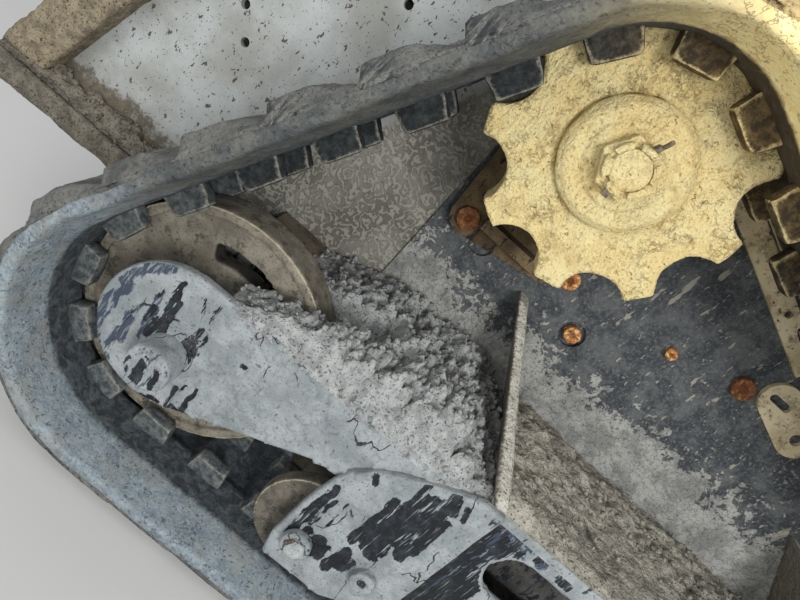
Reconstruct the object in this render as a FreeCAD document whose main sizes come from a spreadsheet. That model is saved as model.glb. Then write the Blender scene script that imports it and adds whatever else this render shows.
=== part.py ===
import FreeCAD, Part
import Sketcher
import math
import os
import re

# Right-hand track undercarriage unit of a compact track loader.
# Millimetres. +X is forward, +Z up, -Y outboard. Every size below is given in the track's own
# frame: x from the rear idler's axis, y from the track's centre line, z from the ground.
# The model's origin lies on the ground below the middle of the whole box.
SIZES = [
    # alias, value, meaning
    ("link_pitch", 72, "track pitch, measured on its cords"),
    ("link_count", 45, "links in the track loop"),
    ("tooth_count", 9, "teeth on the drive sprocket"),
    ("cord_depth", 8, "cords below the track's inner face"),
    ("track_half", 115, "half the track's width"),
    ("path_half", 68, "half the width of the flat roller path"),
    ("wing_drop", 8, "drop of the sloping wing at the track's edge"),
    ("carcass_thick", 21, "track without lugs"),
    ("tread_depth", 14, "tread lug height"),
    ("tread_base", 44, "tread lug length at its root"),
    ("tread_crown", 32, "tread lug length at its crown"),
    ("tread_taper", 16, "slope of a tread lug's outer end"),
    ("tread_shoulder", 1.5, "tread lug's height where that slope starts"),
    ("tread_inner", 26, "inner end of a tread lug from the centre line"),
    ("guide_height", 20, "guide lug height"),
    ("guide_base", 44, "guide lug length at its root"),
    ("guide_crown", 36, "guide lug length at its crown"),
    ("guide_outer", 42, "guide lug's outer face"),
    ("guide_inner", 25, "guide lug's inner face"),
    ("lug_root", 4, "depth that a lug's root reaches into the carcass"),
    ("lug_phase", -14, "first lug past the point where the rear run leaves the idler"),
    ("hole_length", 42, "sprocket hole along the track"),
    ("hole_half", 22, "half the sprocket hole's width"),
    ("seat_gap", 0.3, "gap between a wheel and the track it rolls on"),
    ("bore_gap", 0.05, "radial clearance of a running fit"),
    ("face_gap", 0.3, "side clearance of a turning wheel"),
    ("sprocket_x", 176, "sprocket axis ahead of the rear idler"),
    ("sprocket_z", 525, "sprocket axis above the ground"),
    ("sprocket_half", 20, "half the thickness of the sprocket's toothed plate"),
    ("tip_radius", 110, "sprocket tooth tips"),
    ("notch_radius", 27, "round gap between two teeth"),
    ("notch_centre", 115, "gap centre from the sprocket's axis"),
    ("hub_radius", 51, "hub disc that stands proud of the sprocket"),
    ("hub_reach", 34, "hub disc's outer face from the centre line"),
    ("hub_bevel", 6, "bevel round the hub disc's outer face"),
    ("hub_neck", 44, "hub behind the sprocket"),
    ("shaft_radius", 15, "drive shaft"),
    ("shaft_reach", 56, "drive shaft's end from the centre line"),
    ("nut_radius", 25, "castle nut, to the corners of its hexagon"),
    ("nut_width", 12, "castle nut without its crown"),
    ("crown_radius", 20, "castle nut's slotted crown"),
    ("crown_width", 7, "castle nut's slotted crown"),
    ("crown_floor", 1, "crown left below its slots"),
    ("crown_slot", 5, "width of a slot in the crown"),
    ("crown_slots", 3, "slots across the crown"),
    ("washer_radius", 32, "washer under the castle nut"),
    ("washer_thick", 3, "washer under the castle nut"),
    ("motor_radius", 52, "drive motor's body"),
    ("motor_reach", 62, "drive motor inboard of the side plate"),
    ("motor_waist", 42, "drive motor's nose"),
    ("cover_radius", 44, "drive motor's end cover"),
    ("cover_thick", 20, "drive motor's end cover"),
    ("port_radius", 13, "hose port on the end cover"),
    ("port_height", 12, "hose port on the end cover"),
    ("port_step", 36, "distance between the two hose ports"),
    ("motor_nose", 40, "motor's nose behind the sprocket"),
    ("motor_flange", 78, "motor mount plate's rounded end"),
    ("mount_thick", 12, "motor mount plate"),
    ("mount_corner", 20, "mount plate's rounded lower corners"),
    ("lip_reach", 24, "lip along the mount plate's foot"),
    ("lip_thick", 12, "lip along the mount plate's foot"),
    ("idler_radius", 124, "idler rim"),
    ("idler_half", 21, "half the idler's width"),
    ("rim_thick", 10, "idler rim"),
    ("web_half", 13, "half the idler's web"),
    ("idler_hub", 36, "idler hub"),
    ("idler_hub_half", 40, "half the idler hub's width"),
    ("slot_inner", 69, "inner radius of the idler's curved slots"),
    ("slot_outer", 87, "outer radius of the idler's curved slots"),
    ("slot_angle", 50, "length of a curved slot in degrees"),
    ("slot_count", 3, "curved slots in an idler"),
    ("axle_radius", 16, "idler axle"),
    ("collar_radius", 25, "collar between idler and arm"),
    ("boss_radius", 20, "axle boss outside the arm"),
    ("boss_reach", 38, "axle boss's length outside the arm"),
    ("side_outer", 72.5, "outer face of arms and frame sides"),
    ("side_thick", 10, "arms and frame sides"),
    ("arm_x", -7, "centre of the arm's round end"),
    ("arm_z", 167, "centre of the arm's round end"),
    ("arm_radius", 70, "arm's round end"),
    ("arm_slope", 25.5, "rise of the arm's lower edge in degrees"),
    ("arm_knee", 160, "arm's lower edge turns level here"),
    ("arm_root", 196, "arm's lower edge where it meets the frame"),
    ("flange_start", 22, "rear end of the arm's top flange"),
    ("flange_inner", 26, "inner edge of the arm's top flange"),
    ("flange_thick", 8, "arm's top flange and web"),
    ("web_start", 136, "rear end of the web between the arms"),
    ("frame_rear", 300, "rear end of the frame sides"),
    ("frame_front", 145, "frame's front end behind the front idler's axis"),
    ("frame_top", 255, "top of the frame"),
    ("frame_bottom", 61, "bottom of the frame sides"),
    ("top_thick", 10, "frame's top plate"),
    ("oval_start", 342, "rear end of the first oval hole"),
    ("oval_length", 150, "length of an oval hole"),
    ("oval_radius", 28, "half the height of an oval hole"),
    ("oval_z", 204, "height of the oval holes"),
    ("oval_step", 195, "spacing of the oval holes"),
    ("oval_count", 3, "oval holes in a side"),
    ("roller_x", 203, "first bottom roller"),
    ("roller_step", 226, "spacing of the bottom rollers"),
    ("roller_radius", 55, "bottom roller's wheels"),
    ("roller_inner", 45, "inner face of a roller's wheel"),
    ("roller_outer", 61, "outer face of a roller's wheel"),
    ("sleeve_radius", 28, "roller's sleeve"),
    ("roller_axle", 12, "roller axle"),
    ("roller_count", 4, "bottom rollers"),
    ("axle_head", 15, "head of a roller axle"),
    ("bolt_radius", 12, "bracket bolt's head"),
    ("bolt_height", 9, "heads of the roller axles and bracket bolts"),
    ("bracket_thick", 8, "roller bracket"),
    ("bracket_front", 312, "front edge of the roller bracket"),
    ("bracket_land", 20, "level top of the roller bracket"),
    ("bolt_x", 272, "bracket bolt"),
    ("bolt_z", 107, "bracket bolt"),
    ("carriage_z", 181, "centre of the idler carriage's arms"),
    ("carriage_half", 24, "half the height of the carriage's arms"),
    ("carriage_thick", 11, "carriage's arms"),
    ("carriage_length", 262, "carriage behind the front idler's axis"),
    ("crosshead", 30, "carriage's crosshead"),
    ("eye_radius", 34, "carriage's round eye at the axle"),
    ("guide_rail", 12, "width of the rail that the carriage slides on"),
    ("guide_rail_thick", 8, "rail that the carriage slides on"),
    ("guide_rail_length", 150, "rail that the carriage slides on"),
    ("rod_radius", 15, "tension rod"),
    ("barrel_radius", 30, "tension cylinder"),
    ("barrel_gap", 95, "tension cylinder's front end behind the crosshead"),
    ("rod_engaged", 90, "rod inside the tension cylinder"),
    ("rod_room", 40, "bore past the end of the rod"),
    ("anchor_x", 330, "plate that holds the tension cylinder"),
    ("anchor_thick", 12, "plate that holds the tension cylinder"),
    ("anchor_drop", 40, "plate's lower edge below the cylinder's axis"),
    ("wall_y", 123, "outer face of the chassis side plate"),
    ("wall_thick", 8, "chassis side plate"),
    ("wall_low", 161, "bottom edge of the side plate"),
    ("wall_seam", 99, "seam between black side plate and white rear panel"),
    ("wall_above", 116, "top edge of the side plate above the sprocket's axis"),
    ("recess_radius", 15, "round recesses in the side plate"),
    ("recess_depth", 6, "round recesses in the side plate"),
    ("recess_bolt", 9, "bolt head on the floor of a recess"),
    ("recess_height", 9, "bolt head on the floor of a recess"),
    ("wall_bend", 240, "side plate's top edge starts to fall here"),
    ("wall_nose", 319, "height of the side plate's front end"),
    ("wall_front", 60, "side plate's front end behind the front idler's axis"),
    ("panel_rear", 322, "rear panel behind the rear idler's axis"),
    ("panel_low", 165, "lowest point of the rear panel"),
    ("panel_dip", 100, "lowest point of the rear panel ahead of its rear corner"),
    ("panel_corner", 193, "rear corner of the rear panel"),
    ("panel_top", 611, "top edge of the rear panel"),
    ("panel_lean", 21, "forward lean of the rear panel's rear edge in degrees"),
    ("panel_step", 4, "rear panel behind the side plate's face"),
    ("panel_front", 225, "bottom edge of the rear panel at the seam"),
    ("post_width", 54, "corner post behind the rear panel"),
    ("post_depth", 26, "corner post outboard of the rear panel's back"),
    ("hole_radius", 5, "small holes in the panels"),
    ("shelf_rear", -25, "rear end of the shelf along the chassis side"),
    ("shelf_inner", 81, "outboard edge of the shelf"),
    ("shelf_top", 249, "top of the shelf"),
    ("shelf_thick", 8, "shelf along the chassis side"),
    ("ledge_reach", 36, "rear ledge outboard of the rear panel"),
    ("ledge_rear", 376, "rear end of the rear ledge"),
    ("ledge_gap", 18.7, "rear ledge's front end behind the track round the idler"),
    ("ledge_z", 187, "top of the rear ledge"),
    ("ledge_lip", 28, "height of the rear ledge's lip"),
    ("ledge_thick", 8, "rear ledge"),
    ("rail_height", 24, "upper side rail"),
    ("rail_thick", 5, "upper side rail"),
    ("rail_start", 302, "rail's rear end"),
    ("rail_z", 563, "bottom of the rail's rear end"),
    ("rail_length", 200, "upper side rail"),
    ("rail_slope", 22, "fall of the rail towards the front in degrees"),
    ("rail_hole", 4, "holes in the upper side rail"),
    ("gusset_thick", 10, "gusset plate"),
    ("gusset_foot", 301, "gusset's foot on the frame"),
    ("gusset_lean", 79, "gusset's top behind its foot"),
    ("gusset_rise", 106, "gusset's top above the frame"),
    ("gusset_head", 30, "gusset's width at its top"),
    ("gusset_step", 420, "front gusset ahead of the rear one"),
    ("tube_radius", 26, "cross tube"),
    ("tube_wall", 6, "cross tube"),
    ("tube_z", 205, "cross tubes above the ground"),
    ("tube_x", 385, "first cross tube"),
    ("tube_step", 400, "second cross tube ahead of the first"),
    ("tie_x", 479, "rear edge of the tie-down plate"),
    ("tie_z", 459, "centre of the tie-down plate's rear end"),
    ("tie_length", 92, "tie-down plate"),
    ("tie_half", 22, "half the height of the tie-down plate"),
    ("tie_thick", 6, "tie-down plate"),
    ("tie_slot", 27, "length of the tie-down slot"),
    ("tie_slot_half", 4.5, "half the height of the tie-down slot"),
    ("tie_hole", 7, "tie-down plate's round hole"),
    ("stud_radius", 10, "first bolt head on the side plate"),
    ("stud_height", 7, "bolt heads on the side plate and mount plate"),
    ("plug_radius", 6, "plug in the side plate"),
    ("joint_overlap", 1, "how far a cutting tool or a fused solid reaches past a face"),
]

# Points given as x and z. Each goes on the sheet as NAME_x_a, NAME_z_a, NAME_x_b and so on.
POINTS = {
    "mount_corner": [(127, 385), (219, 402)],
    "wall_bolt": [(251, 406)],
    "stud": [(464, 444)],
    "plug": [(384, 420)],
    "recess": [(298, 363), (157, 372)],
    "rail_hole": [(352, 571), (428, 527)],
    "panel_hole": [(-166, 360), (-186, 390), (-55, 496)],
    "bracket": [(254, 53), (186, 53), (180, 79), (181, 139), (185, 172), (190, 188), (204, 205),
                (222, 218), (251, 236)],
    "bracket_foot": [(312, 83)],
}

doc = FreeCAD.newDocument("undercarriage")
sheet = doc.addObject("Spreadsheet::Sheet", "sizes")
for row, (alias, value, meaning) in enumerate(SIZES, start=1):
    sheet.set("A%d" % row, alias)
    sheet.set("B%d" % row, str(value))
    sheet.set("C%d" % row, meaning)
    sheet.setAlias("B%d" % row, alias)
doc.recompute()
size = {alias: float(sheet.get(alias)) for alias, value, meaning in SIZES}
aliases = set(size)
row = len(SIZES) + 1
for name, points in POINTS.items():
    for letter, point in zip("abcdefghi", points):
        for axis, value in zip("xz", point):
            alias = "_".join((name, axis, letter))
            sheet.set("A%d" % row, alias)
            sheet.set("B%d" % row, str(value))
            sheet.set("C%d" % row, "point %s of %s, %s" % (letter, name, axis))
            sheet.setAlias("B%d" % row, alias)
            aliases.add(alias)
            size[alias] = float(value)
            row += 1
doc.recompute()


def points_of(name):
    """Expressions for the x and z of each of the sheet's points of that name."""
    return [("%s_x_%s" % (name, letter), "%s_z_%s" % (name, letter))
            for letter, point in zip("abcdefghi", POINTS[name])]


def tangent(start, end):
    """Straight run of the track between two wheels (x, z, radius): normal's angle and length."""
    dx, dz = end[0] - start[0], end[1] - start[1]
    apart = math.hypot(dx, dz)
    cosine = (start[2] - end[2]) / apart
    return math.atan2(dz, dx) + math.acos(cosine), apart * math.sqrt(1 - cosine ** 2)


def track_wheels(front_x):
    """The three wheels in the track's order, as x, z and the radius of the track's inner face."""
    bend = size["idler_radius"] + size["seat_gap"]
    low = size["tread_depth"] + size["carcass_thick"] + bend
    drive = size["link_pitch"] * size["tooth_count"] / (2 * math.pi) - size["cord_depth"]
    return [(0.0, low, bend), (size["sprocket_x"], size["sprocket_z"], drive), (front_x, low, bend)]


def track_runs(front_x):
    """Runs of the loop: each starts with its straight stretch and ends with its bend."""
    wheels = track_wheels(front_x)
    spans = [tangent(wheels[i], wheels[(i + 1) % 3]) for i in range(3)]
    runs = []
    for i in range(3):
        normal, straight = spans[i]
        turn = (normal - spans[(i + 1) % 3][0]) % (2 * math.pi)
        wheel = wheels[(i + 1) % 3]
        runs.append((wheels[i], wheel, normal, straight, turn))
    return runs


def cord_length(front_x):
    """Length of the loop on its cords."""
    return sum(straight + turn * (wheel[2] + size["cord_depth"])
               for start, wheel, normal, straight, turn in track_runs(front_x))


def solve_front():
    """Place of the front idler that the loop's length gives."""
    target = size["link_pitch"] * size["link_count"]
    near, far = size["sprocket_x"], size["sprocket_x"] + target
    for step in range(60):
        middle = (near + far) / 2
        near, far = (middle, far) if cord_length(middle) < target else (near, middle)
    return (near + far) / 2


FRONT_X = solve_front()
RUNS = track_runs(FRONT_X)
IDLER_Z = RUNS[0][0][1]
TRACK_OUT = size["carcass_thick"] + size["tread_depth"]
UPPER_ANGLE = math.degrees(RUNS[1][2]) - 90
derived = {
    "front_x": FRONT_X,
    "idler_z": IDLER_Z,
    "roller_z": TRACK_OUT + size["seat_gap"] + size["roller_radius"],
    "upper_angle": UPPER_ANGLE,
    "mid_x": (FRONT_X + RUNS[0][0][2] + TRACK_OUT - size["ledge_rear"]) / 2,
    "mid_y": (size["wall_y"] + size["wall_thick"] + size["motor_reach"] - size["track_half"]) / 2,
}
for row, (alias, value) in enumerate(derived.items(), start=row):
    sheet.set("A%d" % row, alias)
    sheet.set("B%d" % row, repr(value))
    sheet.setAlias("B%d" % row, alias)
    aliases.add(alias)
    size[alias] = value
doc.recompute()
CARRIAGE_OUTER = "side_outer - side_thick - face_gap"
TIE_START = "tie_x + tie_half"
WALL_TOP = "sprocket_z + wall_above"


def bind(obj, prop, text):
    """Tie a property to the sheet; text uses the sheet's aliases as plain words."""
    obj.setExpression(prop, re.sub(r"[a-z_]+", lambda m: ("sizes." if m.group(0) in aliases else "")
                                   + m.group(0), str(text)))


def place(obj, x, y, z):
    """Bind an object's place, given in the track's frame."""
    bind(obj, "Placement.Base.x", "%s - mid_x" % x)
    bind(obj, "Placement.Base.y", "%s - mid_y" % y)
    bind(obj, "Placement.Base.z", z)


TURNS = {
    "x": FreeCAD.Rotation(FreeCAD.Vector(0, 1, 0), 90),
    "y": FreeCAD.Rotation(FreeCAD.Vector(1, 0, 0), -90),
    "z": FreeCAD.Rotation(),
}


def rod(radius, length, x, y, z, along="y"):
    """Cylinder that starts at x, y, z and runs along an axis."""
    obj = doc.addObject("Part::Cylinder", "rod")
    obj.Placement.Rotation = TURNS[along]
    bind(obj, "Radius", radius)
    bind(obj, "Height", length)
    place(obj, x, y, z)
    return obj


def block(length, width, height, x, y, z):
    """Box with its lowest corner at x, y, z."""
    obj = doc.addObject("Part::Box", "block")
    bind(obj, "Length", length)
    bind(obj, "Width", width)
    bind(obj, "Height", height)
    place(obj, x, y, z)
    return obj


def cone(near, far, length, x, y, z):
    """Frustum that starts at x, y, z and runs along y from its near radius to its far one."""
    obj = doc.addObject("Part::Cone", "cone")
    obj.Placement.Rotation = TURNS["y"]
    bind(obj, "Radius1", near)
    bind(obj, "Radius2", far)
    bind(obj, "Height", length)
    place(obj, x, y, z)
    return obj


def hexagon(radius, length, x, y, z):
    """Hexagonal prism that starts at x, y, z and runs along y."""
    obj = doc.addObject("Part::Prism", "hexagon")
    obj.Polygon = 6
    obj.Placement.Rotation = TURNS["y"]
    bind(obj, "Circumradius", radius)
    bind(obj, "Height", length)
    place(obj, x, y, z)
    return obj


def bar_across(length, width, height, x, y, z, angle):
    """Box through a point x, z that starts at y, turned by an angle about y."""
    obj = block(length, width, height, "0", y, "0")
    obj.Placement.Rotation = FreeCAD.Rotation(FreeCAD.Vector(0, 1, 0), -angle)
    turned = (length, angle, height, angle)
    bind(obj, "Placement.Base.x", "%s - mid_x - %s / 2 * cos(%f) + %s / 2 * sin(%f)" % ((x,) + turned))
    bind(obj, "Placement.Base.z", "%s - %s / 2 * sin(%f) - %s / 2 * cos(%f)" % ((z,) + turned))
    return obj


def value_of(text):
    """Value of an expression, for a sketch's first drawing."""
    cell = doc.addObject("App::FeaturePython", "probe")
    cell.addProperty("App::PropertyFloat", "result")
    bind(cell, "result", text)
    cell.recompute()
    value = cell.result
    doc.removeObject(cell.Name)
    return value


def outline_sketch(body, plane_role, points):
    """Closed outline of straight lines whose corners are bound to the sheet."""
    sketch = body.newObject("Sketcher::SketchObject", "outline")
    plane = [feature for feature in body.Origin.OriginFeatures if feature.Role == plane_role][0]
    sketch.AttachmentSupport = [(plane, "")]
    sketch.MapMode = "FlatFace"
    corners = [FreeCAD.Vector(value_of(first), value_of(second), 0) for first, second in points]
    count = len(points)
    for i in range(count):
        sketch.addGeometry(Part.LineSegment(corners[i], corners[(i + 1) % count]), False)
    for i in range(count):
        sketch.addConstraint(Sketcher.Constraint("Coincident", i, 2, (i + 1) % count, 1))
    for i, (first, second) in enumerate(points):
        for kind, text, value in (("DistanceX", first, corners[i].x), ("DistanceY", second, corners[i].y)):
            index = sketch.addConstraint(Sketcher.Constraint(kind, -1, 1, i, 1, value))
            bind(sketch, "Constraints[%d]" % index, text)
    return sketch


def plate(points, thick, at):
    """Upright plate drawn in x and z. It reaches outboard from y = at."""
    return padded("XZ_Plane", points, thick, ("0", at, "0"))


def cross_plate(points, thick, at):
    """Upright plate drawn in y and z. It reaches forward from x = at."""
    return padded("YZ_Plane", points, thick, (at, "0", "0"))


def padded(plane_role, points, thick, origin):
    """Outline on one of a body's planes, padded by a thickness."""
    body = doc.addObject("PartDesign::Body", "plate")
    sketch = outline_sketch(body, plane_role, points)
    pad = body.newObject("PartDesign::Pad", "pad")
    pad.Profile = sketch
    bind(pad, "Length", thick)
    body.Tip = pad
    place(body, *origin)
    doc.recompute()
    return body


def fuse(*solids):
    """One solid from several."""
    if len(solids) == 1:
        return solids[0]
    obj = doc.addObject("Part::MultiFuse", "fused")
    obj.Shapes = list(solids)
    obj.Refine = True
    return obj


def cut(base, *tools):
    """A solid less others."""
    obj = doc.addObject("Part::Cut", "cut")
    obj.Base = base
    obj.Tool = fuse(*tools)
    obj.Refine = True
    return obj


def tilt(obj, x, z):
    """Turn an object about a point until it runs along the track's upper run."""
    obj.Placement.Rotation = FreeCAD.Rotation(FreeCAD.Vector(0, 1, 0), -UPPER_ANGLE)
    x, z, cosine, sine = "(%s - mid_x)" % x, "(%s)" % z, "cos(upper_angle)", "sin(upper_angle)"
    bind(obj, "Placement.Base.x", "%s - %s * %s + %s * %s" % (x, x, cosine, z, sine))
    bind(obj, "Placement.Base.z", "%s - %s * %s - %s * %s" % (z, z, cosine, x, sine))


def common(first, second):
    """What two solids share."""
    obj = doc.addObject("Part::Common", "common")
    obj.Base = first
    obj.Tool = second
    return obj


nodes = []


def node(name, obj):
    """Name a finished sub-part."""
    obj.Label = name
    nodes.append(obj)
    return obj


def track_frame(distance):
    """Placement on the track's inner face at a distance along the cords: X along, Z outward.

    Beside it comes the radius of the bend there, or None on a straight run.
    """
    left = distance % (size["link_pitch"] * size["link_count"])
    for start, wheel, normal, straight, turn in RUNS:
        bend = turn * (wheel[2] + size["cord_depth"])
        if left > straight + bend:
            left -= straight + bend
            continue
        angle, centre, run, radius = normal, start, left, None
        if left > straight:
            angle = normal - (left - straight) / (wheel[2] + size["cord_depth"])
            centre, run, radius = wheel, 0.0, wheel[2]
        x = centre[0] + centre[2] * math.cos(angle) + run * math.sin(angle)
        z = centre[1] + centre[2] * math.sin(angle) - run * math.cos(angle)
        turned = FreeCAD.Rotation(FreeCAD.Vector(0, 1, 0), 90 - math.degrees(angle))
        return FreeCAD.Placement(FreeCAD.Vector(x, 0, z), turned), radius


def wedge(base, crown, y_low, y_high, z_root, z_crown):
    """Lug with sloping ends, its root at one height and its crown at another."""
    corners = [(-base / 2, z_root), (base / 2, z_root), (crown / 2, z_crown), (-crown / 2, z_crown)]
    wire = Part.makePolygon([FreeCAD.Vector(x, y_low, z) for x, z in corners + corners[:1]])
    return Part.Face(wire).extrude(FreeCAD.Vector(0, y_high - y_low, 0))


def tread_lug(side):
    """Tread lug on one side of the track, whose outer end slopes down to the track's edge."""
    half, crown = size["track_half"], size["carcass_thick"] + size["tread_depth"]
    reach = sorted((side * size["tread_inner"], side * half))
    lug = wedge(size["tread_base"], size["tread_crown"], reach[0], reach[1],
                size["carcass_thick"] - size["lug_root"], crown)
    past = size["joint_overlap"]
    rise = (size["tread_depth"] - size["tread_shoulder"]) / size["tread_taper"]
    low = size["carcass_thick"] + size["tread_shoulder"] - past * rise
    corners = [(half + past, low), (half + past, crown + past * rise),
               (half - size["tread_taper"] - past, crown + past * rise)]
    start = -size["tread_base"]
    wire = Part.makePolygon([FreeCAD.Vector(start, side * y, z) for y, z in corners + corners[:1]])
    return lug.cut(Part.Face(wire).extrude(FreeCAD.Vector(-2 * start, 0, 0)))


def carcass():
    """The rubber belt: straight runs are extruded and bends are turned about their wheels."""
    half, flat, drop = size["track_half"], size["path_half"], size["wing_drop"]
    right = [(flat, 0), (half, drop), (half, size["carcass_thick"])]
    section = right + [(-y, t) for y, t in reversed(right)]
    solids = []
    for start, wheel, normal, straight, turn in RUNS:
        frame = FreeCAD.Vector(math.cos(normal), 0, math.sin(normal))
        along = FreeCAD.Vector(math.sin(normal), 0, -math.cos(normal))
        for centre, sweep in ((start, 0), (wheel, turn)):
            hub = FreeCAD.Vector(centre[0], 0, centre[1])
            points = [hub + frame * (centre[2] + t) + FreeCAD.Vector(0, y, 0) for y, t in section]
            face = Part.Face(Part.makePolygon(points + points[:1]))
            if sweep:
                solids.append(face.revolve(hub, FreeCAD.Vector(0, 1, 0), math.degrees(sweep)))
            else:
                solids.append(face.extrude(along * straight))
    return solids[0].multiFuse(solids[1:]).removeSplitter()


def set_on_track(solid, distance, reach=0.0, half_length=0.0):
    """Solid moved to a distance along the track.

    In a bend it is let in so that the ends of a crown of that reach and half length stay on
    the circle that the track's outside turns in.
    """
    placement, radius = track_frame(distance)
    if radius and half_length:
        outside = radius + reach
        let_in = outside - math.sqrt(outside ** 2 - half_length ** 2)
        placement = placement.multiply(FreeCAD.Placement(FreeCAD.Vector(0, 0, -let_in), FreeCAD.Rotation()))
    return solid.transformed(placement.toMatrix())


def track_shape():
    """Belt with guide lugs inside, tread lugs outside and a sprocket hole in each link."""
    root, thick = size["lug_root"], size["carcass_thick"]
    inner, outer = size["guide_inner"], size["guide_outer"]
    crown = thick + size["tread_depth"]
    guides = [wedge(size["guide_base"], size["guide_crown"], y, y + outer - inner, root,
                    -size["guide_height"]) for y in (-outer, inner)]
    treads = [tread_lug(side) for side in (-1, 1)]
    hole = Part.makeBox(size["hole_length"], 2 * size["hole_half"], thick + 2 * root,
                        FreeCAD.Vector(-size["hole_length"] / 2, -size["hole_half"], -root))
    lugs, holes = [], []
    for link in range(int(size["link_count"])):
        here = size["lug_phase"] + link * size["link_pitch"]
        between = here + size["link_pitch"] / 2
        lugs += [set_on_track(guide, here) for guide in guides]
        for tread, at in zip(treads, (here, between)):
            lugs.append(set_on_track(tread, at, crown, size["tread_crown"] / 2))
        holes.append(set_on_track(hole, between))
    return carcass().multiFuse(lugs).cut(Part.makeCompound(holes)).removeSplitter()


def make_track():
    obj = doc.addObject("Part::Feature", "track")
    obj.Shape = track_shape()
    obj.Placement = FreeCAD.Placement(FreeCAD.Vector(-size["mid_x"], -size["mid_y"], 0),
                                      FreeCAD.Rotation())
    node("track_belt", obj)


def tooth_angle():
    """Angle of one tooth: midway between two guide lugs on the sprocket."""
    start, wheel, normal, straight, turn = RUNS[0]
    pitch = size["link_pitch"]
    links = math.ceil((straight - size["lug_phase"]) / pitch) + 0.5
    past = size["lug_phase"] + links * pitch - straight
    return math.degrees(normal - past / (wheel[2] + size["cord_depth"]))


def make_sprocket():
    """Toothed plate whose gaps are round, hub disc with its drive shaft, washer and castle nut."""
    x, z, half = "sprocket_x", "sprocket_z", "sprocket_half"
    disc = rod("tip_radius", "2 * " + half, x, "-" + half, z)
    gaps = []
    first = tooth_angle() + 180 / size["tooth_count"]
    for tooth in range(int(size["tooth_count"])):
        turn = "(%.6f + %d * 360 / tooth_count)" % (first, tooth)
        gaps.append(rod("notch_radius", "2 * %s + 2" % half,
                        "sprocket_x + notch_centre * cos%s" % turn, "-%s - 1" % half,
                        "sprocket_z + notch_centre * sin%s" % turn))
    bore = rod("hub_radius", "2 * %s + 2" % half, x, "-%s - 1" % half, z)
    node("drive_sprocket", cut(disc, bore, *gaps))
    bevel = cone("hub_radius - hub_bevel", "hub_radius", "hub_bevel", x, "-hub_reach", z)
    hub = rod("hub_radius", "hub_reach - hub_bevel + %s" % half, x, "-hub_reach + hub_bevel", z)
    neck = rod("hub_neck", "motor_nose - %s" % half, x, half, z)
    washer = rod("washer_radius", "washer_thick", x, "-hub_reach - washer_thick", z)
    shaft = rod("shaft_radius", "shaft_reach - hub_reach + joint_overlap", x, "-shaft_reach", z)
    node("sprocket_hub", fuse(bevel, hub, neck, washer, shaft))
    seat = "-hub_reach - washer_thick - nut_width"
    top = "%s - crown_width" % seat
    nut = hexagon("nut_radius", "nut_width", x, seat, z)
    crown = rod("crown_radius", "crown_width + joint_overlap", x, top, z)
    slots = [bar_across("2 * nut_radius", "crown_width - crown_floor", "crown_slot", x, top, z,
                        turn * 180 / size["crown_slots"]) for turn in range(int(size["crown_slots"]))]
    hole = rod("shaft_radius", "nut_width + crown_width + 2", x, "%s - 1" % top, z)
    node("hub_nut", cut(fuse(nut, crown), hole, *slots))


def make_motor():
    """Motor behind the sprocket and the round-ended plate that bolts it to the chassis."""
    x, z = "sprocket_x", "sprocket_z"
    nose = rod("motor_waist", "wall_y - motor_nose", x, "motor_nose", z)
    case = rod("motor_radius", "wall_thick + motor_reach - cover_thick", x, "wall_y", z)
    back = "wall_y + wall_thick + motor_reach - cover_thick"
    cover = rod("cover_radius", "cover_thick", x, back, z)
    ports = [rod("port_radius", "cover_radius + port_height", "%s %s port_step / 2" % (x, side),
                 "%s + port_radius / 2" % back, z, "z") for side in "-+"]
    node("drive_motor", fuse(nose, case, cover, *ports))
    disc = rod("motor_flange", "mount_thick", x, "wall_y - mount_thick", z)
    (rear_x, rear_z), (front_x, front_z) = points_of("mount_corner")
    face, edge = "wall_y - mount_thick", "mount_corner"
    foot = plate([("sprocket_x - motor_flange", z), ("sprocket_x + motor_flange", z),
                  ("%s + %s" % (front_x, edge), front_z), (front_x, "%s - %s" % (front_z, edge)),
                  (rear_x, "%s - %s" % (rear_z, edge)), ("%s - %s" % (rear_x, edge), rear_z)],
                 "mount_thick", "wall_y")
    corners = [rod(edge, "mount_thick", corner_x, face, corner_z)
               for corner_x, corner_z in points_of("mount_corner")]
    room = "(bolt_radius + 2)"
    lip = block("%s - %s - %s" % (front_x, rear_x, room), "lip_reach", "lip_thick",
                "%s + %s" % (rear_x, room), face + " - lip_reach", front_z + " - lip_thick")
    bore = rod("motor_waist", "mount_thick + 2", x, face + " - 1", z)
    node("motor_mount_plate", cut(fuse(disc, foot, lip, *corners), bore))
    node("mount_bolt", rod("bolt_radius", "stud_height", rear_x, face + " - stud_height", rear_z))


def idler(name, x):
    """Idler wheel with curved slots, running on its axle."""
    z = "idler_z"
    rim = cut(rod("idler_radius", "2 * idler_half", x, "-idler_half", z),
              rod("idler_radius - rim_thick", "2 * idler_half + 2", x, "-idler_half - 1", z))
    web = rod("idler_radius - rim_thick + 1", "2 * web_half", x, "-web_half", z)
    hub = rod("idler_hub", "2 * idler_hub_half", x, "-idler_hub_half", z)
    tools = [rod("axle_radius + bore_gap", "2 * idler_hub_half + 2", x, "-idler_hub_half - 1", z)]
    for slot in range(int(size["slot_count"])):
        first = -90 - size["slot_angle"] / 2 + slot * 360 / size["slot_count"]
        sector = rod("slot_outer", "2 * web_half + 2", x, "-web_half - 1", z)
        sector.Placement.Rotation = FreeCAD.Rotation(FreeCAD.Vector(0, 1, 0), first).multiply(TURNS["y"])
        bind(sector, "Angle", "slot_angle")
        core = rod("slot_inner", "2 * web_half + 4", x, "-web_half - 2", z)
        tools.append(cut(sector, core))
    node(name, cut(fuse(rim, web, hub), *tools))


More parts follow.
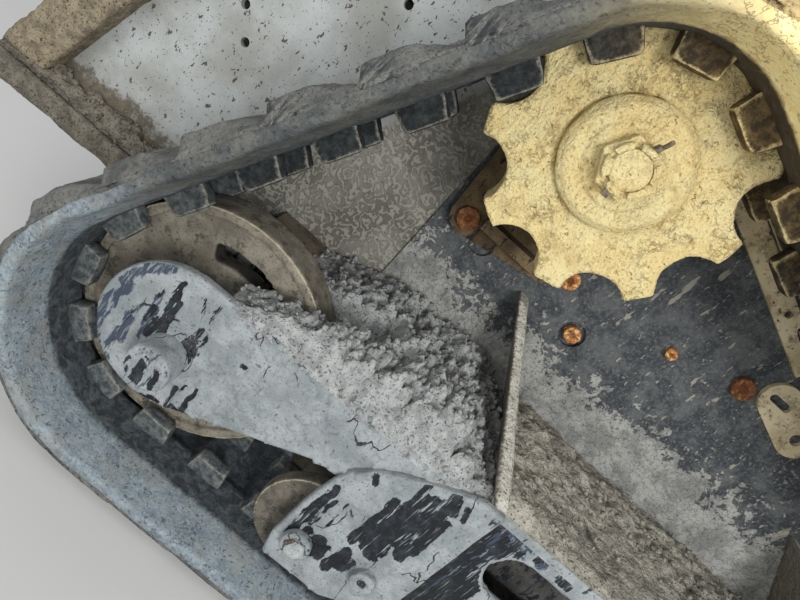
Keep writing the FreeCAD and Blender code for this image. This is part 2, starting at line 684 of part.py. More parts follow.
def axle(name, x, reach, seat, boss):
    """Idler axle with a collar on each side; seat is the inner face of what holds it."""
    z = "idler_z"
    parts = [rod("axle_radius", "2 * (%s)" % reach, x, "-(%s)" % reach, z)]
    collar = "%s - idler_hub_half - face_gap" % seat
    for start in ("-(%s)" % seat, "idler_hub_half + face_gap"):
        parts.append(rod("collar_radius", collar, x, start, z))
    if boss:
        parts.append(rod("boss_radius", "boss_reach", x, "-side_outer - boss_reach", z))
        parts.append(rod("boss_radius", "bolt_height", x, "side_outer", z))
    node(name, fuse(*parts))


def make_arms():
    """Two arms that hold the rear idler, with top flanges, and the web that joins them."""
    tangent_x = "arm_x + arm_radius * sin(arm_slope)"
    tangent_z = "arm_z - arm_radius * cos(arm_slope)"
    top = "frame_top - top_thick"
    outline = [("arm_x", "arm_z + arm_radius"), ("frame_rear", top), ("frame_rear", "arm_root"),
               ("arm_knee", "%s + (arm_knee - %s) * tan(arm_slope)" % (tangent_z, "(" + tangent_x + ")")),
               (tangent_x, tangent_z)]
    for name, y, flange_y in (("rear_arm_outer", "-side_outer", "-side_outer"),
                              ("rear_arm_inner", "side_outer - side_thick", "flange_inner")):
        side = plate(outline, "side_thick", "%s + side_thick" % y)
        end = rod("arm_radius", "side_thick", "arm_x", y, "arm_z")
        flange = block("web_start - flange_start", "side_outer - flange_inner", "flange_thick",
                       "flange_start", flange_y, "arm_z + arm_radius - flange_thick")
        hole = rod("axle_radius", "side_thick + 2", "0", "%s - 1" % y, "idler_z")
        node(name, cut(fuse(side, end, flange), hole))
    node("rear_arm_web", block("frame_rear - web_start", "2 * (side_outer - side_thick)", "flange_thick",
                               "web_start", "-side_outer + side_thick",
                               "arm_z + arm_radius - flange_thick"))


def make_frame():
    """Frame sides with oval holes, top plate that reaches the chassis, and cross tubes."""
    length = "front_x - frame_front - frame_rear"
    top = "frame_top - top_thick"
    for name, y in (("frame_side_outer", "-side_outer"), ("frame_side_inner", "side_outer - side_thick")):
        side = block(length, "side_thick", "%s - frame_bottom" % top, "frame_rear", y, "frame_bottom")
        inside = "side_thick - side_outer" if y.startswith("-") else "side_outer - side_thick - guide_rail"
        rail = block("guide_rail_length", "guide_rail", "guide_rail_thick",
                     "front_x - frame_front - guide_rail_length", inside,
                     "carriage_z - carriage_half - face_gap - guide_rail_thick")
        tools = []
        for hole in range(int(size["oval_count"])):
            start = "oval_start + oval_radius + %d * oval_step" % hole
            span = "oval_length - 2 * oval_radius"
            tools.append(block(span, "side_thick + 2", "2 * oval_radius", start, "%s - 1" % y,
                               "oval_z - oval_radius"))
            for end in (start, "%s + %s" % (start, span)):
                tools.append(rod("oval_radius", "side_thick + 2", end, "%s - 1" % y, "oval_z"))
        for roller in range(1, int(size["roller_count"])):
            tools.append(rod("roller_axle", "side_thick + 2", "roller_x + %d * roller_step" % roller,
                             "%s - 1" % y, "roller_z"))
        node(name, cut(fuse(side, rail), *tools))
    node("frame_top_plate", block(length, "side_outer + wall_y", "top_thick", "frame_rear",
                                  "-side_outer", top))
    node("tension_anchor", block("anchor_thick", "2 * (side_outer - side_thick)",
                                 "%s - carriage_z + anchor_drop" % top, "anchor_x",
                                 "-side_outer + side_thick", "carriage_z - anchor_drop"))


def make_rollers():
    """Bottom rollers: two wheels on a sleeve, each on an axle that the sides or brackets hold."""
    for number in range(int(size["roller_count"])):
        x = "roller_x + %d * roller_step" % number
        z = "roller_z"
        wheels = [rod("roller_radius", "roller_outer - roller_inner", x, y, z)
                  for y in ("-roller_outer", "roller_inner")]
        sleeve = rod("sleeve_radius", "2 * roller_inner + 2", x, "-roller_inner - 1", z)
        bore = rod("roller_axle", "2 * roller_outer + 2", x, "-roller_outer - 1", z)
        node("track_roller_%d" % (number + 1), cut(fuse(sleeve, *wheels), bore))
        hold = "side_outer + bracket_thick" if number == 0 else "side_outer"
        shaft = rod("roller_axle", "2 * (%s)" % hold, x, "-(%s)" % hold, z)
        heads = [rod("axle_head", "bolt_height", x, y, z)
                 for y in ("-(%s) - bolt_height" % hold, hold)]
        node("roller_axle_%d" % (number + 1), fuse(shaft, *heads))
    for name, y, top in (("roller_bracket_outer", "-side_outer", "frame_top"),
                         ("roller_bracket_inner", "side_outer + bracket_thick", "frame_top - top_thick")):
        outline = points_of("bracket") + [("bracket_front - bracket_land", top), ("bracket_front", top)]
        body = plate(outline + points_of("bracket_foot"), "bracket_thick", y)
        hole = rod("roller_axle", "bracket_thick + 2", "roller_x", "%s - bracket_thick - 1" % y, "roller_z")
        node(name, cut(body, hole))
        head = "-side_outer - bracket_thick - bolt_height" if top == "frame_top" else y
        node(name.replace("roller_bracket", "bracket_bolt"),
             rod("bolt_radius", "bolt_height", "bolt_x", head, "bolt_z"))


def make_carriage():
    """Front idler's carriage: two arms, a crosshead and the rod that the tension cylinder pushes."""
    back = "front_x - carriage_length"
    low = "carriage_z - carriage_half"
    parts = []
    for y in ("-(%s)" % CARRIAGE_OUTER, "%s - carriage_thick" % CARRIAGE_OUTER):
        parts.append(block("carriage_length", "carriage_thick", "2 * carriage_half", back, y, low))
        parts.append(rod("eye_radius", "carriage_thick", "front_x", y, "idler_z"))
    head = block("crosshead", "2 * (%s)" % CARRIAGE_OUTER, "2 * carriage_half", back,
                 "-(%s)" % CARRIAGE_OUTER, low)
    hole = rod("axle_radius", "2 * (%s) + 2" % CARRIAGE_OUTER, "front_x", "-(%s) - 1" % CARRIAGE_OUTER,
               "idler_z")
    node("idler_carriage", cut(fuse(head, *parts), hole))
    node("tension_rod", rod("rod_radius", "barrel_gap + rod_engaged", "%s - barrel_gap - rod_engaged" % back,
                            "0", "carriage_z", "x"))
    start = "anchor_x + anchor_thick"
    length = "%s - barrel_gap - (%s)" % (back, start)
    body = rod("barrel_radius", length, start, "0", "carriage_z", "x")
    bore = rod("rod_radius + bore_gap", "rod_engaged + rod_room + 1",
               "%s - barrel_gap - rod_engaged - rod_room" % back, "0", "carriage_z", "x")
    node("tension_cylinder", cut(body, bore))


def make_chassis():
    """Black side plate, white rear panel, ledge, rail, tie-down plate and gussets."""
    nose = "front_x - wall_front"
    side = plate([("wall_seam", "wall_low"), (nose, "wall_low"), (nose, "wall_nose"),
                  ("wall_bend", WALL_TOP), ("wall_seam", WALL_TOP)], "wall_thick",
                 "wall_y + wall_thick")
    shaft = rod("motor_radius", "wall_thick + 2", "sprocket_x", "wall_y - 1", "sprocket_z")
    recesses = [rod("recess_radius", "recess_depth + 1", x, "wall_y - 1", z)
                for x, z in points_of("recess")]
    node("chassis_side_plate", cut(side, shaft, *recesses))
    x, z = points_of("recess")[0]
    node("recess_bolt", rod("recess_bolt", "recess_height", x, "wall_y + recess_depth - recess_height", z))
    inner = "wall_y + panel_step"
    top_x = "-panel_rear + (panel_top - panel_corner) * tan(panel_lean)"
    panel = plate([("-panel_rear", "panel_corner"), ("-panel_rear + panel_dip", "panel_low"),
                   ("wall_seam", "panel_front"), ("wall_seam", "panel_top"), (top_x, "panel_top")],
                  "wall_thick", "%s + wall_thick" % inner)
    node("rear_corner_post", plate([("-panel_rear - post_width", "panel_corner"),
                                    ("-panel_rear", "panel_corner"), (top_x, "panel_top"),
                                    ("%s - post_width" % top_x, "panel_top")],
                                   "wall_thick + post_depth", "%s + wall_thick" % inner))
    holes = [rod("hole_radius", "wall_thick + 2", x, "%s - 1" % inner, z)
             for x, z in points_of("panel_hole")]
    node("rear_side_panel", cut(panel, *holes))
    node("chassis_shelf", block("frame_rear - shelf_rear", "wall_y - shelf_inner", "shelf_thick",
                                "shelf_rear", "shelf_inner", "shelf_top - shelf_thick"))
    start, edge = "-ledge_rear", "%s - ledge_reach" % inner
    length = "ledge_rear - idler_radius - seat_gap - carcass_thick - tread_depth - ledge_gap"
    node("rear_ledge", fuse(block(length, "ledge_reach", "ledge_thick", start, edge,
                                  "ledge_z - ledge_thick"),
                            block(length, "ledge_thick", "ledge_lip", start, edge,
                                  "ledge_z - ledge_lip")))
    rail = block("rail_length", "rail_thick", "rail_height", "rail_start", "wall_y - rail_thick", "rail_z")
    rail.Placement.Rotation = FreeCAD.Rotation(FreeCAD.Vector(0, 1, 0), size["rail_slope"])
    node("upper_side_rail", cut(rail, *[rod("rail_hole", "rail_thick + 2", x, "wall_y - rail_thick - 1", z)
                                        for x, z in points_of("rail_hole")]))
    make_tie_plate()
    make_gussets()
    for number in range(2):
        x = "tube_x + %d * tube_step" % number
        length = "wall_y - side_outer"
        node("cross_tube_%d" % (number + 1),
             cut(rod("tube_radius", length, x, "side_outer", "tube_z"),
                 rod("tube_radius - tube_wall", length + " + 2", x, "side_outer - 1", "tube_z")))
    for name, point, radius in (("chassis_bolt_1", "wall_bolt", "stud_radius"),
                                ("chassis_bolt_2", "stud", "bolt_radius"),
                                ("chassis_plug", "plug", "plug_radius")):
        x, z = points_of(point)[0]
        node(name, rod(radius, "stud_height", x, "wall_y - stud_height", z))


def make_tie_plate():
    """Round-ended tie-down plate that falls towards the front, with a slot and a round hole."""
    y, front = "wall_y - tie_thick", "tie_x + tie_length - tie_half"
    body = fuse(block("tie_length - 2 * tie_half", "tie_thick", "2 * tie_half", TIE_START, y,
                      "tie_z - tie_half"),
                rod("tie_half", "tie_thick", TIE_START, y, "tie_z"),
                rod("tie_half", "tie_thick", front, y, "tie_z"))
    tilted = cut(body, rod("tie_hole", "tie_thick + 2", front, y + " - 1", "tie_z"))
    tilt(tilted, TIE_START, "tie_z")
    slot = [block("tie_slot - 2 * tie_slot_half", "tie_thick + 2", "2 * tie_slot_half",
                  TIE_START + " - tie_slot / 2 + tie_slot_half", y + " - 1", "tie_z - tie_slot_half")]
    for side in "-+":
        slot.append(rod("tie_slot_half", "tie_thick + 2",
                        "%s %s (tie_slot / 2 - tie_slot_half)" % (TIE_START, side), y + " - 1", "tie_z"))
    node("tie_down_plate", cut(tilted, *slot))


def make_gussets():
    """Leaning plates that tie the frame's top to the chassis side; they narrow towards their tops."""
    shift = "gusset_thick / sin(atan(gusset_rise / gusset_lean))"
    for number in range(2):
        foot = "gusset_foot + %d * gusset_step" % number
        leaning = plate([(foot, "frame_top"), ("%s + %s" % (foot, shift), "frame_top"),
                         ("%s + %s - gusset_lean" % (foot, shift), "frame_top + gusset_rise"),
                         ("%s - gusset_lean" % foot, "frame_top + gusset_rise")],
                        "side_outer + wall_y", "wall_y")
        tapered = cross_plate([("-side_outer", "frame_top"), ("wall_y", "frame_top"),
                               ("wall_y", "frame_top + gusset_rise"),
                               ("wall_y - gusset_head", "frame_top + gusset_rise"),
                               ("-side_outer", "frame_top + gusset_thick")],
                              "2 * gusset_lean + gusset_thick", "%s - gusset_lean" % foot)
        node("gusset_%d" % (number + 1), common(leaning, tapered))


make_track()
make_sprocket()
make_motor()
idler("rear_idler_wheel", "0")
axle("rear_idler_axle", "0", "side_outer", "side_outer - side_thick", True)
make_arms()
make_frame()
make_rollers()
idler("front_idler_wheel", "front_x")
axle("front_idler_axle", "front_x", CARRIAGE_OUTER, "%s - carriage_thick" % CARRIAGE_OUTER, False)
make_carriage()
make_chassis()
doc.recompute()

for obj in doc.Objects:
    if "Invalid" in obj.State or "Error" in obj.State:
        raise SystemExit("%s (%s) failed: %s" % (obj.Name, obj.Label, obj.State))
os.makedirs("parts", exist_ok=True)
for obj in nodes:
    shape = obj.Shape
    if shape.isNull() or not shape.isValid():
        raise SystemExit("%s has no valid shape" % obj.Label)
    shape.exportStep("parts/%s.step" % obj.Label)
    box = shape.BoundBox
    print("%-22s %8.1f cm3  x %7.1f %7.1f  y %7.1f %7.1f  z %7.1f %7.1f" % (
        obj.Label, shape.Volume / 1000, box.XMin, box.XMax, box.YMin, box.YMax, box.ZMin, box.ZMax))
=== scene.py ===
import itertools
import math

import bpy
import numpy as np
from mathutils import Matrix, Vector


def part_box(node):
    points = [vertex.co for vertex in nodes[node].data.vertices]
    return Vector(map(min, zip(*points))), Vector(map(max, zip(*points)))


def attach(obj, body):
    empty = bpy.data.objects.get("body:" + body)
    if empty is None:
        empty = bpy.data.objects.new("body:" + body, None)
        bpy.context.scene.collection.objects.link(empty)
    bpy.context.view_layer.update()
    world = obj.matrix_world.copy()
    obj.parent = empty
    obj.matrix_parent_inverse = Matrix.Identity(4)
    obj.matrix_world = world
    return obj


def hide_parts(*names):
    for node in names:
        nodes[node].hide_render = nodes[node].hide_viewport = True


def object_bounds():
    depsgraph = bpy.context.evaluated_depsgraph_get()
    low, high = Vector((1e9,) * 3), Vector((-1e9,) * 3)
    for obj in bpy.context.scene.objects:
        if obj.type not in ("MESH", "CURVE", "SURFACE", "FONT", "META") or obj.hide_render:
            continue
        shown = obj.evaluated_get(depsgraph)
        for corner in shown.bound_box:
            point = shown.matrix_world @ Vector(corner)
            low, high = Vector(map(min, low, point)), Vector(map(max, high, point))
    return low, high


# Looks of the right-hand track undercarriage unit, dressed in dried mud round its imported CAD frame.
# Metres in the row frame: +X forward, +Z up, -Y outboard. Places on the unit are typed in
# millimetres of the track's own frame: x from the rear idler's axis, y from the track's centre
# line, and z at a level where that axis lies at AXIS_Z.
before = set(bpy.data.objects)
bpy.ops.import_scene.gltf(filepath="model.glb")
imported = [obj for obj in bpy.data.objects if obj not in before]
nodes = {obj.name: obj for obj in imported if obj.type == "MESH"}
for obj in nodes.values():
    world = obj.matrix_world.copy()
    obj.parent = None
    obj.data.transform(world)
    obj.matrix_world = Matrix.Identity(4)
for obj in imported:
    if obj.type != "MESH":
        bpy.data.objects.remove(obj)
cad_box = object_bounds()
MM = 0.001
AXIS_Z = 170.3


def middle(node):
    """Middle of a CAD node's box."""
    low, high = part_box(node)
    return (Vector(low) + Vector(high)) / 2


IDLER = middle("rear_idler_wheel")
FRONT = middle("front_idler_wheel")
SPROCKET = middle("sprocket_hub")
LEVEL = IDLER.z - AXIS_Z * MM
LOW = np.array(cad_box[0])
HIGH = np.array(cad_box[1])
BOX_MARGIN = 0.1 * MM


def at(x, y, z):
    """Point of the track's own frame, in millimetres, as a point of the scene."""
    return Vector((IDLER.x + x * MM, IDLER.y + y * MM, LEVEL + z * MM))


def own(points):
    """Points of the scene in millimetres of the track's own frame, as three columns."""
    return ((points - np.array([IDLER.x, IDLER.y, LEVEL])) / MM).T


# Numbers that vary smoothly in space

def hashed(cells, seed):
    """Number from 0 to 1 for each whole-numbered cell."""
    h = (cells[:, 0] * 73856093) ^ (cells[:, 1] * 19349663) ^ (cells[:, 2] * 83492791) ^ (seed * 2971)
    h = ((h ^ (h >> 13)) * 1274126177) & 0xFFFFFFFF
    h = ((h ^ (h >> 16)) * 2246822519) & 0xFFFFFFFF
    return ((h ^ (h >> 15)) & 0xFFFFFF) / 0xFFFFFF


def noise(points, size, seed=1, octaves=1, gain=0.5):
    """Smooth noise from about -1 to 1 with features about `size` metres wide."""
    total = np.zeros(len(points))
    for octave in range(octaves):
        scaled = points / size * 2 ** octave + 11.3 * octave
        cells = np.floor(scaled).astype(np.int64)
        part = scaled - cells
        part = part * part * (3 - 2 * part)
        for corner in itertools.product((0, 1), repeat=3):
            weight = np.prod(np.where(corner, part, 1 - part), axis=1)
            total += gain ** octave * weight * (2 * hashed(cells + np.array(corner), seed + octave) - 1)
    return total


def clods(points, size, seed=1):
    """Rounded lumps about `size` metres wide: 1 on top of a lump, 0 between lumps."""
    scaled = points / size
    cells = np.floor(scaled).astype(np.int64)
    nearest = np.full(len(points), 9.0)
    for step in itertools.product((-1, 0, 1), repeat=3):
        cell = cells + np.array(step)
        seeds = np.stack([hashed(cell, seed + k) for k in range(3)], axis=1)
        nearest = np.minimum(nearest, np.sum((cell + seeds - scaled) ** 2, axis=1))
    return np.clip(1 - nearest * 1.4, 0, 1)


def smooth_step(value, low, high):
    """0 below low, 1 above high and smooth between; high may be the lower of the two."""
    t = np.clip((value - low) / (high - low), 0, 1)
    return t * t * (3 - 2 * t)


def strokes(x, z, lines, soft=5.0):
    """Over a half inside lines (x, z, x, z, half width) on a side face, and 0 away from them."""
    field = np.zeros(len(x))
    for x1, z1, x2, z2, half in lines:
        dx, dz = x2 - x1, z2 - z1
        along = np.clip(((x - x1) * dx + (z - z1) * dz) / max(dx * dx + dz * dz, 1.0), 0, 1)
        away = np.hypot(x - x1 - along * dx, z - z1 - along * dz)
        field = np.maximum(field, np.clip(0.5 + (half - away) / soft, 0, 1))
    return field


def drips(points, amount):
    """Over a half where mud has run off in upright streaks; amount shifts how much of it has."""
    thin = noise(points * np.array([1.0, 0.4, 0.15]), 0.0075, 81, 2)
    broad = noise(points, 0.05, 83, 2)
    return np.clip(0.5 + 0.4 * thin + 0.5 * broad + amount, 0, 1)


# Materials

def tone(red, green, blue):
    """Colour as a shader takes it, from its screen values of 0 to 255."""
    def linear(value):
        value /= 255
        return value / 12.92 if value <= 0.04045 else ((value + 0.055) / 1.055) ** 2.4
    return (linear(red), linear(green), linear(blue), 1.0)


MUD_PALE = tone(151, 156, 157)
MUD = tone(124, 130, 132)
MUD_DEEP = tone(82, 87, 89)
MUD_BLACK = tone(50, 49, 47)
MUD_BROWN = tone(84, 77, 66)
MUD_BROWN_DEEP = tone(44, 39, 32)
PAINT = tone(22, 25, 29)
PAINT_WORN = tone(48, 54, 60)
FILM = tone(44, 56, 72)
# Tan mud as bright and yellow as it shows in sunlight: the mud's own tan with painted sunlight in it.
SUNLIT_TAN_PALE = tone(255, 238, 178)
SUNLIT_TAN = tone(250, 226, 160)
SUNLIT_TAN_DEEP = tone(162, 128, 78)
WHITE = tone(172, 176, 175)
WHITE_DUSTY = tone(144, 145, 140)
CREAM = tone(214, 200, 166)
RUBBER = tone(52, 57, 60)
RUBBER_WORN = tone(92, 98, 102)
SMEAR = tone(116, 127, 134)
SMEAR_PALE = tone(146, 156, 161)
RUST = tone(160, 98, 54)
RUST_PALE = tone(212, 166, 106)
RUST_DEEP = tone(92, 52, 26)
STEEL = tone(186, 174, 144)


class Look:
    """One procedural material. Its methods add nodes and return sockets."""

    def __init__(self, name):
        self.material = bpy.data.materials.new(name)
        self.material.use_nodes = True
        self.tree = self.material.node_tree
        self.shader = self.tree.nodes["Principled BSDF"]
        self.place = self.new("ShaderNodeTexCoord").outputs["Object"]

    def new(self, kind, **settings):
        node = self.tree.nodes.new(kind)
        for key, value in settings.items():
            setattr(node, key, value)
        return node

    def feed(self, socket, value):
        """Link a socket to another, or set it to a number or colour."""
        if isinstance(value, bpy.types.NodeSocket):
            self.tree.links.new(value, socket)
        else:
            socket.default_value = value

    def math(self, operation, first, second=0.0):
        node = self.new("ShaderNodeMath", operation=operation)
        self.feed(node.inputs[0], first)
        self.feed(node.inputs[1], second)
        return node.outputs[0]

    def scaled(self, size, stretch, vector=None):
        node = self.new("ShaderNodeMapping")
        self.feed(node.inputs["Vector"], vector or self.place)
        node.inputs["Scale"].default_value = [1 / (size * s) for s in stretch]
        return node.outputs["Vector"]

    def noise(self, size, detail=4.0, rough=0.6, stretch=(1, 1, 1), swirl=0.0):
        """Noise around 0.5 with features about `size` metres wide."""
        node = self.new("ShaderNodeTexNoise")
        self.feed(node.inputs["Vector"], self.scaled(size, stretch))
        node.inputs["Scale"].default_value = 1.0
        node.inputs["Detail"].default_value = detail
        node.inputs["Roughness"].default_value = rough
        node.inputs["Distortion"].default_value = swirl
        return node.outputs["Fac"]

    def cracks(self, size, width, stretch=(1, 1, 1), wander=0.35):
        """Net of lines: 1 on a line and 0 away from it."""
        bend = self.new("ShaderNodeTexNoise")
        self.feed(bend.inputs["Vector"], self.scaled(size * 0.6, stretch))
        bend.inputs["Scale"].default_value = 1.0
        bend.inputs["Detail"].default_value = 3.0
        shift = self.new("ShaderNodeVectorMath", operation="MULTIPLY_ADD")
        self.feed(shift.inputs[0], bend.outputs["Color"])
        shift.inputs[1].default_value = (wander * 2,) * 3
        self.feed(shift.inputs[2], self.scaled(size, stretch))
        cells = self.new("ShaderNodeTexVoronoi", feature="DISTANCE_TO_EDGE")
        self.feed(cells.inputs["Vector"], shift.outputs[0])
        cells.inputs["Scale"].default_value = 1.0
        return self.step(cells.outputs["Distance"], width, width * 0.3)

    def step(self, value, low, high):
        """0 where value is at low, 1 where it is at high, smooth between."""
        node = self.new("ShaderNodeMapRange", interpolation_type="SMOOTHSTEP")
        self.feed(node.inputs["Value"], value)
        if low < high:
            ends = (low, high, 0.0, 1.0)
        else:
            ends = (high, low, 1.0, 0.0)
        for socket, end in zip(list(node.inputs)[1:5], ends):
            socket.default_value = end
        return node.outputs["Result"]

    def mix(self, share, first, second):
        """Colour first where share is 0, second where it is 1."""
        node = self.new("ShaderNodeMix", data_type="RGBA")
        self.feed(node.inputs["Factor"], share)
        colours = [socket for socket in node.inputs if socket.type == "RGBA"]
        self.feed(colours[0], first)
        self.feed(colours[1], second)
        return [socket for socket in node.outputs if socket.type == "RGBA"][0]

    def attribute(self, name):
        return self.new("ShaderNodeAttribute", attribute_name=name).outputs["Fac"]

    def along(self, axis):
        """The place's coordinate along X, Y or Z."""
        split = self.new("ShaderNodeSeparateXYZ")
        self.feed(split.inputs[0], self.place)
        return split.outputs[axis]

    def below(self, high, low):
        """0 above a height in the track's own frame, 1 under a lower one."""
        return self.step(self.along("Z"), LEVEL + high * MM, LEVEL + low * MM)

    def times(self, first, second):
        return self.math("MULTIPLY", first, second)

    def plus(self, first, second):
        return self.math("ADD", first, second)

    def done(self, colour, rough, height=None, depth=1.0 * MM):
        self.feed(self.shader.inputs["Base Color"], colour)
        self.feed(self.shader.inputs["Roughness"], rough)
        self.shader.inputs["Specular IOR Level"].default_value = 0.3
        if height is not None:
            bump = self.new("ShaderNodeBump")
            self.feed(bump.inputs["Height"], height)
            bump.inputs["Distance"].default_value = depth
            self.tree.links.new(bump.outputs["Normal"], self.shader.inputs["Normal"])
        return self.material


def dried(look, pale, mid, deep, size=0.03):
    """Colour and height of dried mud: blotches, grain and small dark pits."""
    blotch = look.noise(size, 4.0, 0.6)
    grain = look.noise(0.0022, 2.0, 0.7)
    pits = look.step(look.noise(0.0042, 2.0, 0.6), 0.34, 0.27)
    colour = look.mix(look.step(blotch, 0.36, 0.64), mid, pale)
    colour = look.mix(look.times(look.step(grain, 0.46, 0.30), 0.55), colour, deep)
    colour = look.mix(look.times(pits, 0.7), colour, deep)
    height = look.plus(look.times(grain, 0.7), look.times(blotch, 2.0))
    return colour, look.math("SUBTRACT", height, pits)


def worn_paint(look, under=PAINT, worn=PAINT_WORN, scuff=MUD):
    """Colour of dark paint with a dusty bloom and fine pale scratches down it."""
    paint = look.mix(look.step(look.noise(0.012, 5.0, 0.7), 0.44, 0.70), under, worn)
    scratches = look.step(look.noise(0.0016, 1.0, 0.5, (1, 1, 14), 0.4), 0.66, 0.74)
    return look.mix(look.times(scratches, 0.6), paint, scuff)


def streaked_mud(name, pale=MUD_PALE, mid=MUD, deep=MUD_DEEP):
    """Dried mud on dark paint. It is off where `bare` is over a half, and a bluish film where `film` is."""
    look = Look(name)
    colour, height = dried(look, pale, mid, deep)
    ragged = look.times(look.math("SUBTRACT", look.noise(0.0034, 4.0, 0.7, (1, 1, 4.5), 0.3), 0.5), 1.5)
    left = look.step(look.noise(0.0052, 3.0, 0.6, (1, 1, 10), 0.4), 0.59, 0.64)
    bare = look.step(look.plus(look.attribute("bare"), ragged), 0.46, 0.54)
    bare = look.times(bare, look.math("SUBTRACT", 1.0, left))
    film = look.step(look.plus(look.attribute("film"), ragged), 0.42, 0.60)
    hatch = look.step(look.noise(0.0040, 4.0, 0.65, (1, 1, 6), 0.5), 0.50, 0.60)
    net = look.times(look.cracks(0.036, 0.018, (1, 1, 2.2), 0.5),
                     look.step(look.noise(0.05, 2.0), 0.53, 0.58))
    smudge = look.step(look.noise(0.010, 5.0, 0.7), 0.62, 0.70)
    colour = look.mix(look.times(smudge, 0.45), colour, deep)
    colour = look.mix(net, colour, MUD_BLACK)
    colour = look.mix(look.times(film, 0.9), colour, look.mix(hatch, FILM, mid))
    colour = look.mix(bare, colour, worn_paint(look))
    height = look.math("SUBTRACT", height, look.plus(net, look.times(bare, 1.2)))
    rough = look.math("SUBTRACT", 0.95, look.times(bare, 0.5))
    return look.done(colour, rough, height, 0.7 * MM)


def plain_mud(name, pale=MUD_PALE, mid=MUD, deep=MUD_DEEP, under=PAINT, off=0.30):
    """Dried mud that has come off dark paint in small upright flecks, `off` of it in all."""
    look = Look(name)
    colour, height = dried(look, pale, mid, deep)
    runs = look.plus(look.times(look.noise(0.008, 4.0, 0.6, (1, 1, 3.5), 0.3), 0.7),
                     look.times(look.noise(0.035, 3.0), 0.3))
    bare = look.step(runs, 0.66 - 0.3 * off, 0.70 - 0.3 * off)
    colour = look.mix(bare, colour, worn_paint(look, under))
    return look.done(colour, 0.9, look.math("SUBTRACT", height, bare), 0.7 * MM)


def crumbly(name, pale, mid, deep, black):
    """Loose, crumbly soil with dark grit, and black painted in its hollows as shade."""
    look = Look(name)
    colour, height = dried(look, pale, mid, deep, 0.012)
    hollow = look.attribute("hollow")
    grit = look.step(look.noise(0.0028, 2.0, 0.5), 0.60, 0.66)
    colour = look.mix(look.times(grit, 0.7), colour, black)
    # Hollows are painted black as shade.
    colour = look.mix(look.times(hollow, 0.75), colour, black)
    return look.done(colour, 0.97, look.plus(height, look.noise(0.006, 4.0, 0.75)), 2.0 * MM)


def cracked_mud(name, cracked=1.0):
    """Tan mud with fine wrinkles, flow lines and a few cracks, on the sprocket and hub. It is as bright as painted
    sunlight, and its wrinkles, flow lines, low spots and hollows are painted darker as shade.
    """
    look = Look(name)
    colour, height = dried(look, SUNLIT_TAN_PALE, SUNLIT_TAN, SUNLIT_TAN_DEEP, 0.03)
    wrinkle = look.times(look.cracks(0.007, 0.10, (1, 1, 1), 1.2), look.step(look.noise(0.02, 3.0), 0.50, 0.62))
    net = look.times(look.cracks(0.045, 0.012, (1, 1, 1), 1.1), look.step(look.noise(0.05, 2.0), 0.50, 0.58))
    net = look.times(net, cracked)
    rough = look.noise(0.0035, 4.0, 0.75)
    flow = look.noise(0.006, 4.0, 0.6, (1, 1, 3), 1.6)
    # Wrinkles, flow lines and low spots are painted darker as shade of the mud's relief.
    colour = look.mix(look.times(wrinkle, 0.35), colour, SUNLIT_TAN_DEEP)
    colour = look.mix(look.times(net, 0.8), colour, SUNLIT_TAN_DEEP)
    colour = look.mix(look.times(look.step(flow, 0.40, 0.30), 0.45), colour, SUNLIT_TAN_DEEP)
    colour = look.mix(look.times(look.step(rough, 0.43, 0.30), 0.4), colour, SUNLIT_TAN_DEEP)
    # Hollows of the coat are painted darker as shade.
    colour = look.mix(look.times(look.attribute("hollow"), 0.28), colour, SUNLIT_TAN_DEEP)
    height = look.plus(look.plus(height, look.times(flow, 1.5)), look.times(rough, 2.0))
    height = look.math("SUBTRACT", height, look.plus(look.times(wrinkle, cracked), net))
    return look.done(colour, 0.95, height, 2.6 * MM)


def rubber_look(name):
    """Track rubber: a wing under bluish grey smears, darker on the upper run, tan by the sprocket, and a dark roller
    path. The upper run's darker mud is partly painted shade, the tan is painted sunlight on tan mud, and the path's
    dark brown by the sprocket is painted shade.
    """
    look = Look(name)
    dust, sunlit_tan_patch, upper = look.attribute("dust"), look.attribute("sunlit_tan_patch"), look.attribute("upper")
    patchy = look.noise(0.035, 4.0, 0.65)
    smear = look.noise(0.010, 4.0, 0.65, (1, 1, 1), 0.8)
    grain = look.noise(0.0024, 3.0, 0.7)
    pits = look.step(look.noise(0.0040, 3.0, 0.7), 0.40, 0.33)
    ridge = look.noise(0.0036, 3.0, 0.6, (1, 7, 1), 0.8)
    rubber = look.mix(look.step(smear, 0.34, 0.70), RUBBER, RUBBER_WORN)
    # By the sprocket the roller path turns dark brown: painted shade.
    rubber = look.mix(look.times(sunlit_tan_patch, 0.8), rubber, tone(74, 60, 40))
    mud = look.mix(look.step(look.plus(look.times(smear, 0.5), look.times(grain, 0.5)), 0.40, 0.62), SMEAR,
                   SMEAR_PALE)
    mud = look.mix(look.times(look.step(patchy, 0.46, 0.62), 0.6), mud, tone(136, 137, 131))
    # Upper run: darker grey-brown mud, partly its own colour and partly painted shade.
    high = look.mix(look.step(look.plus(look.times(patchy, 0.6), look.times(grain, 0.4)), 0.4, 0.6),
                    tone(70, 72, 72), tone(100, 100, 95))
    high = look.mix(look.times(look.step(ridge, 0.47, 0.36), 0.4), high, tone(64, 66, 66))
    mud = look.mix(upper, mud, high)
    # By the sprocket: tan mud, as bright as painted sunlight.
    mud = look.mix(sunlit_tan_patch, mud, look.mix(look.step(smear, 0.4, 0.6), SUNLIT_TAN, SUNLIT_TAN_PALE))
    level = look.plus(look.times(look.plus(patchy, smear), 0.35), dust)
    colour = look.mix(look.step(level, 0.50, 0.90), rubber, mud)
    colour = look.mix(look.times(pits, look.math("SUBTRACT", 0.45, look.times(upper, 0.25))), colour, RUBBER)
    net = look.times(look.cracks(0.016, 0.03, (1, 1, 1), 1.2),
                     look.times(look.step(look.noise(0.05, 2.0), 0.52, 0.60), dust))
    colour = look.mix(look.times(net, 0.5), colour, RUBBER)
    height = look.plus(smear, look.times(look.noise(0.003, 2.0), 0.6))
    return look.done(colour, 0.85, look.math("SUBTRACT", height, look.plus(pits, net)), 1.0 * MM)


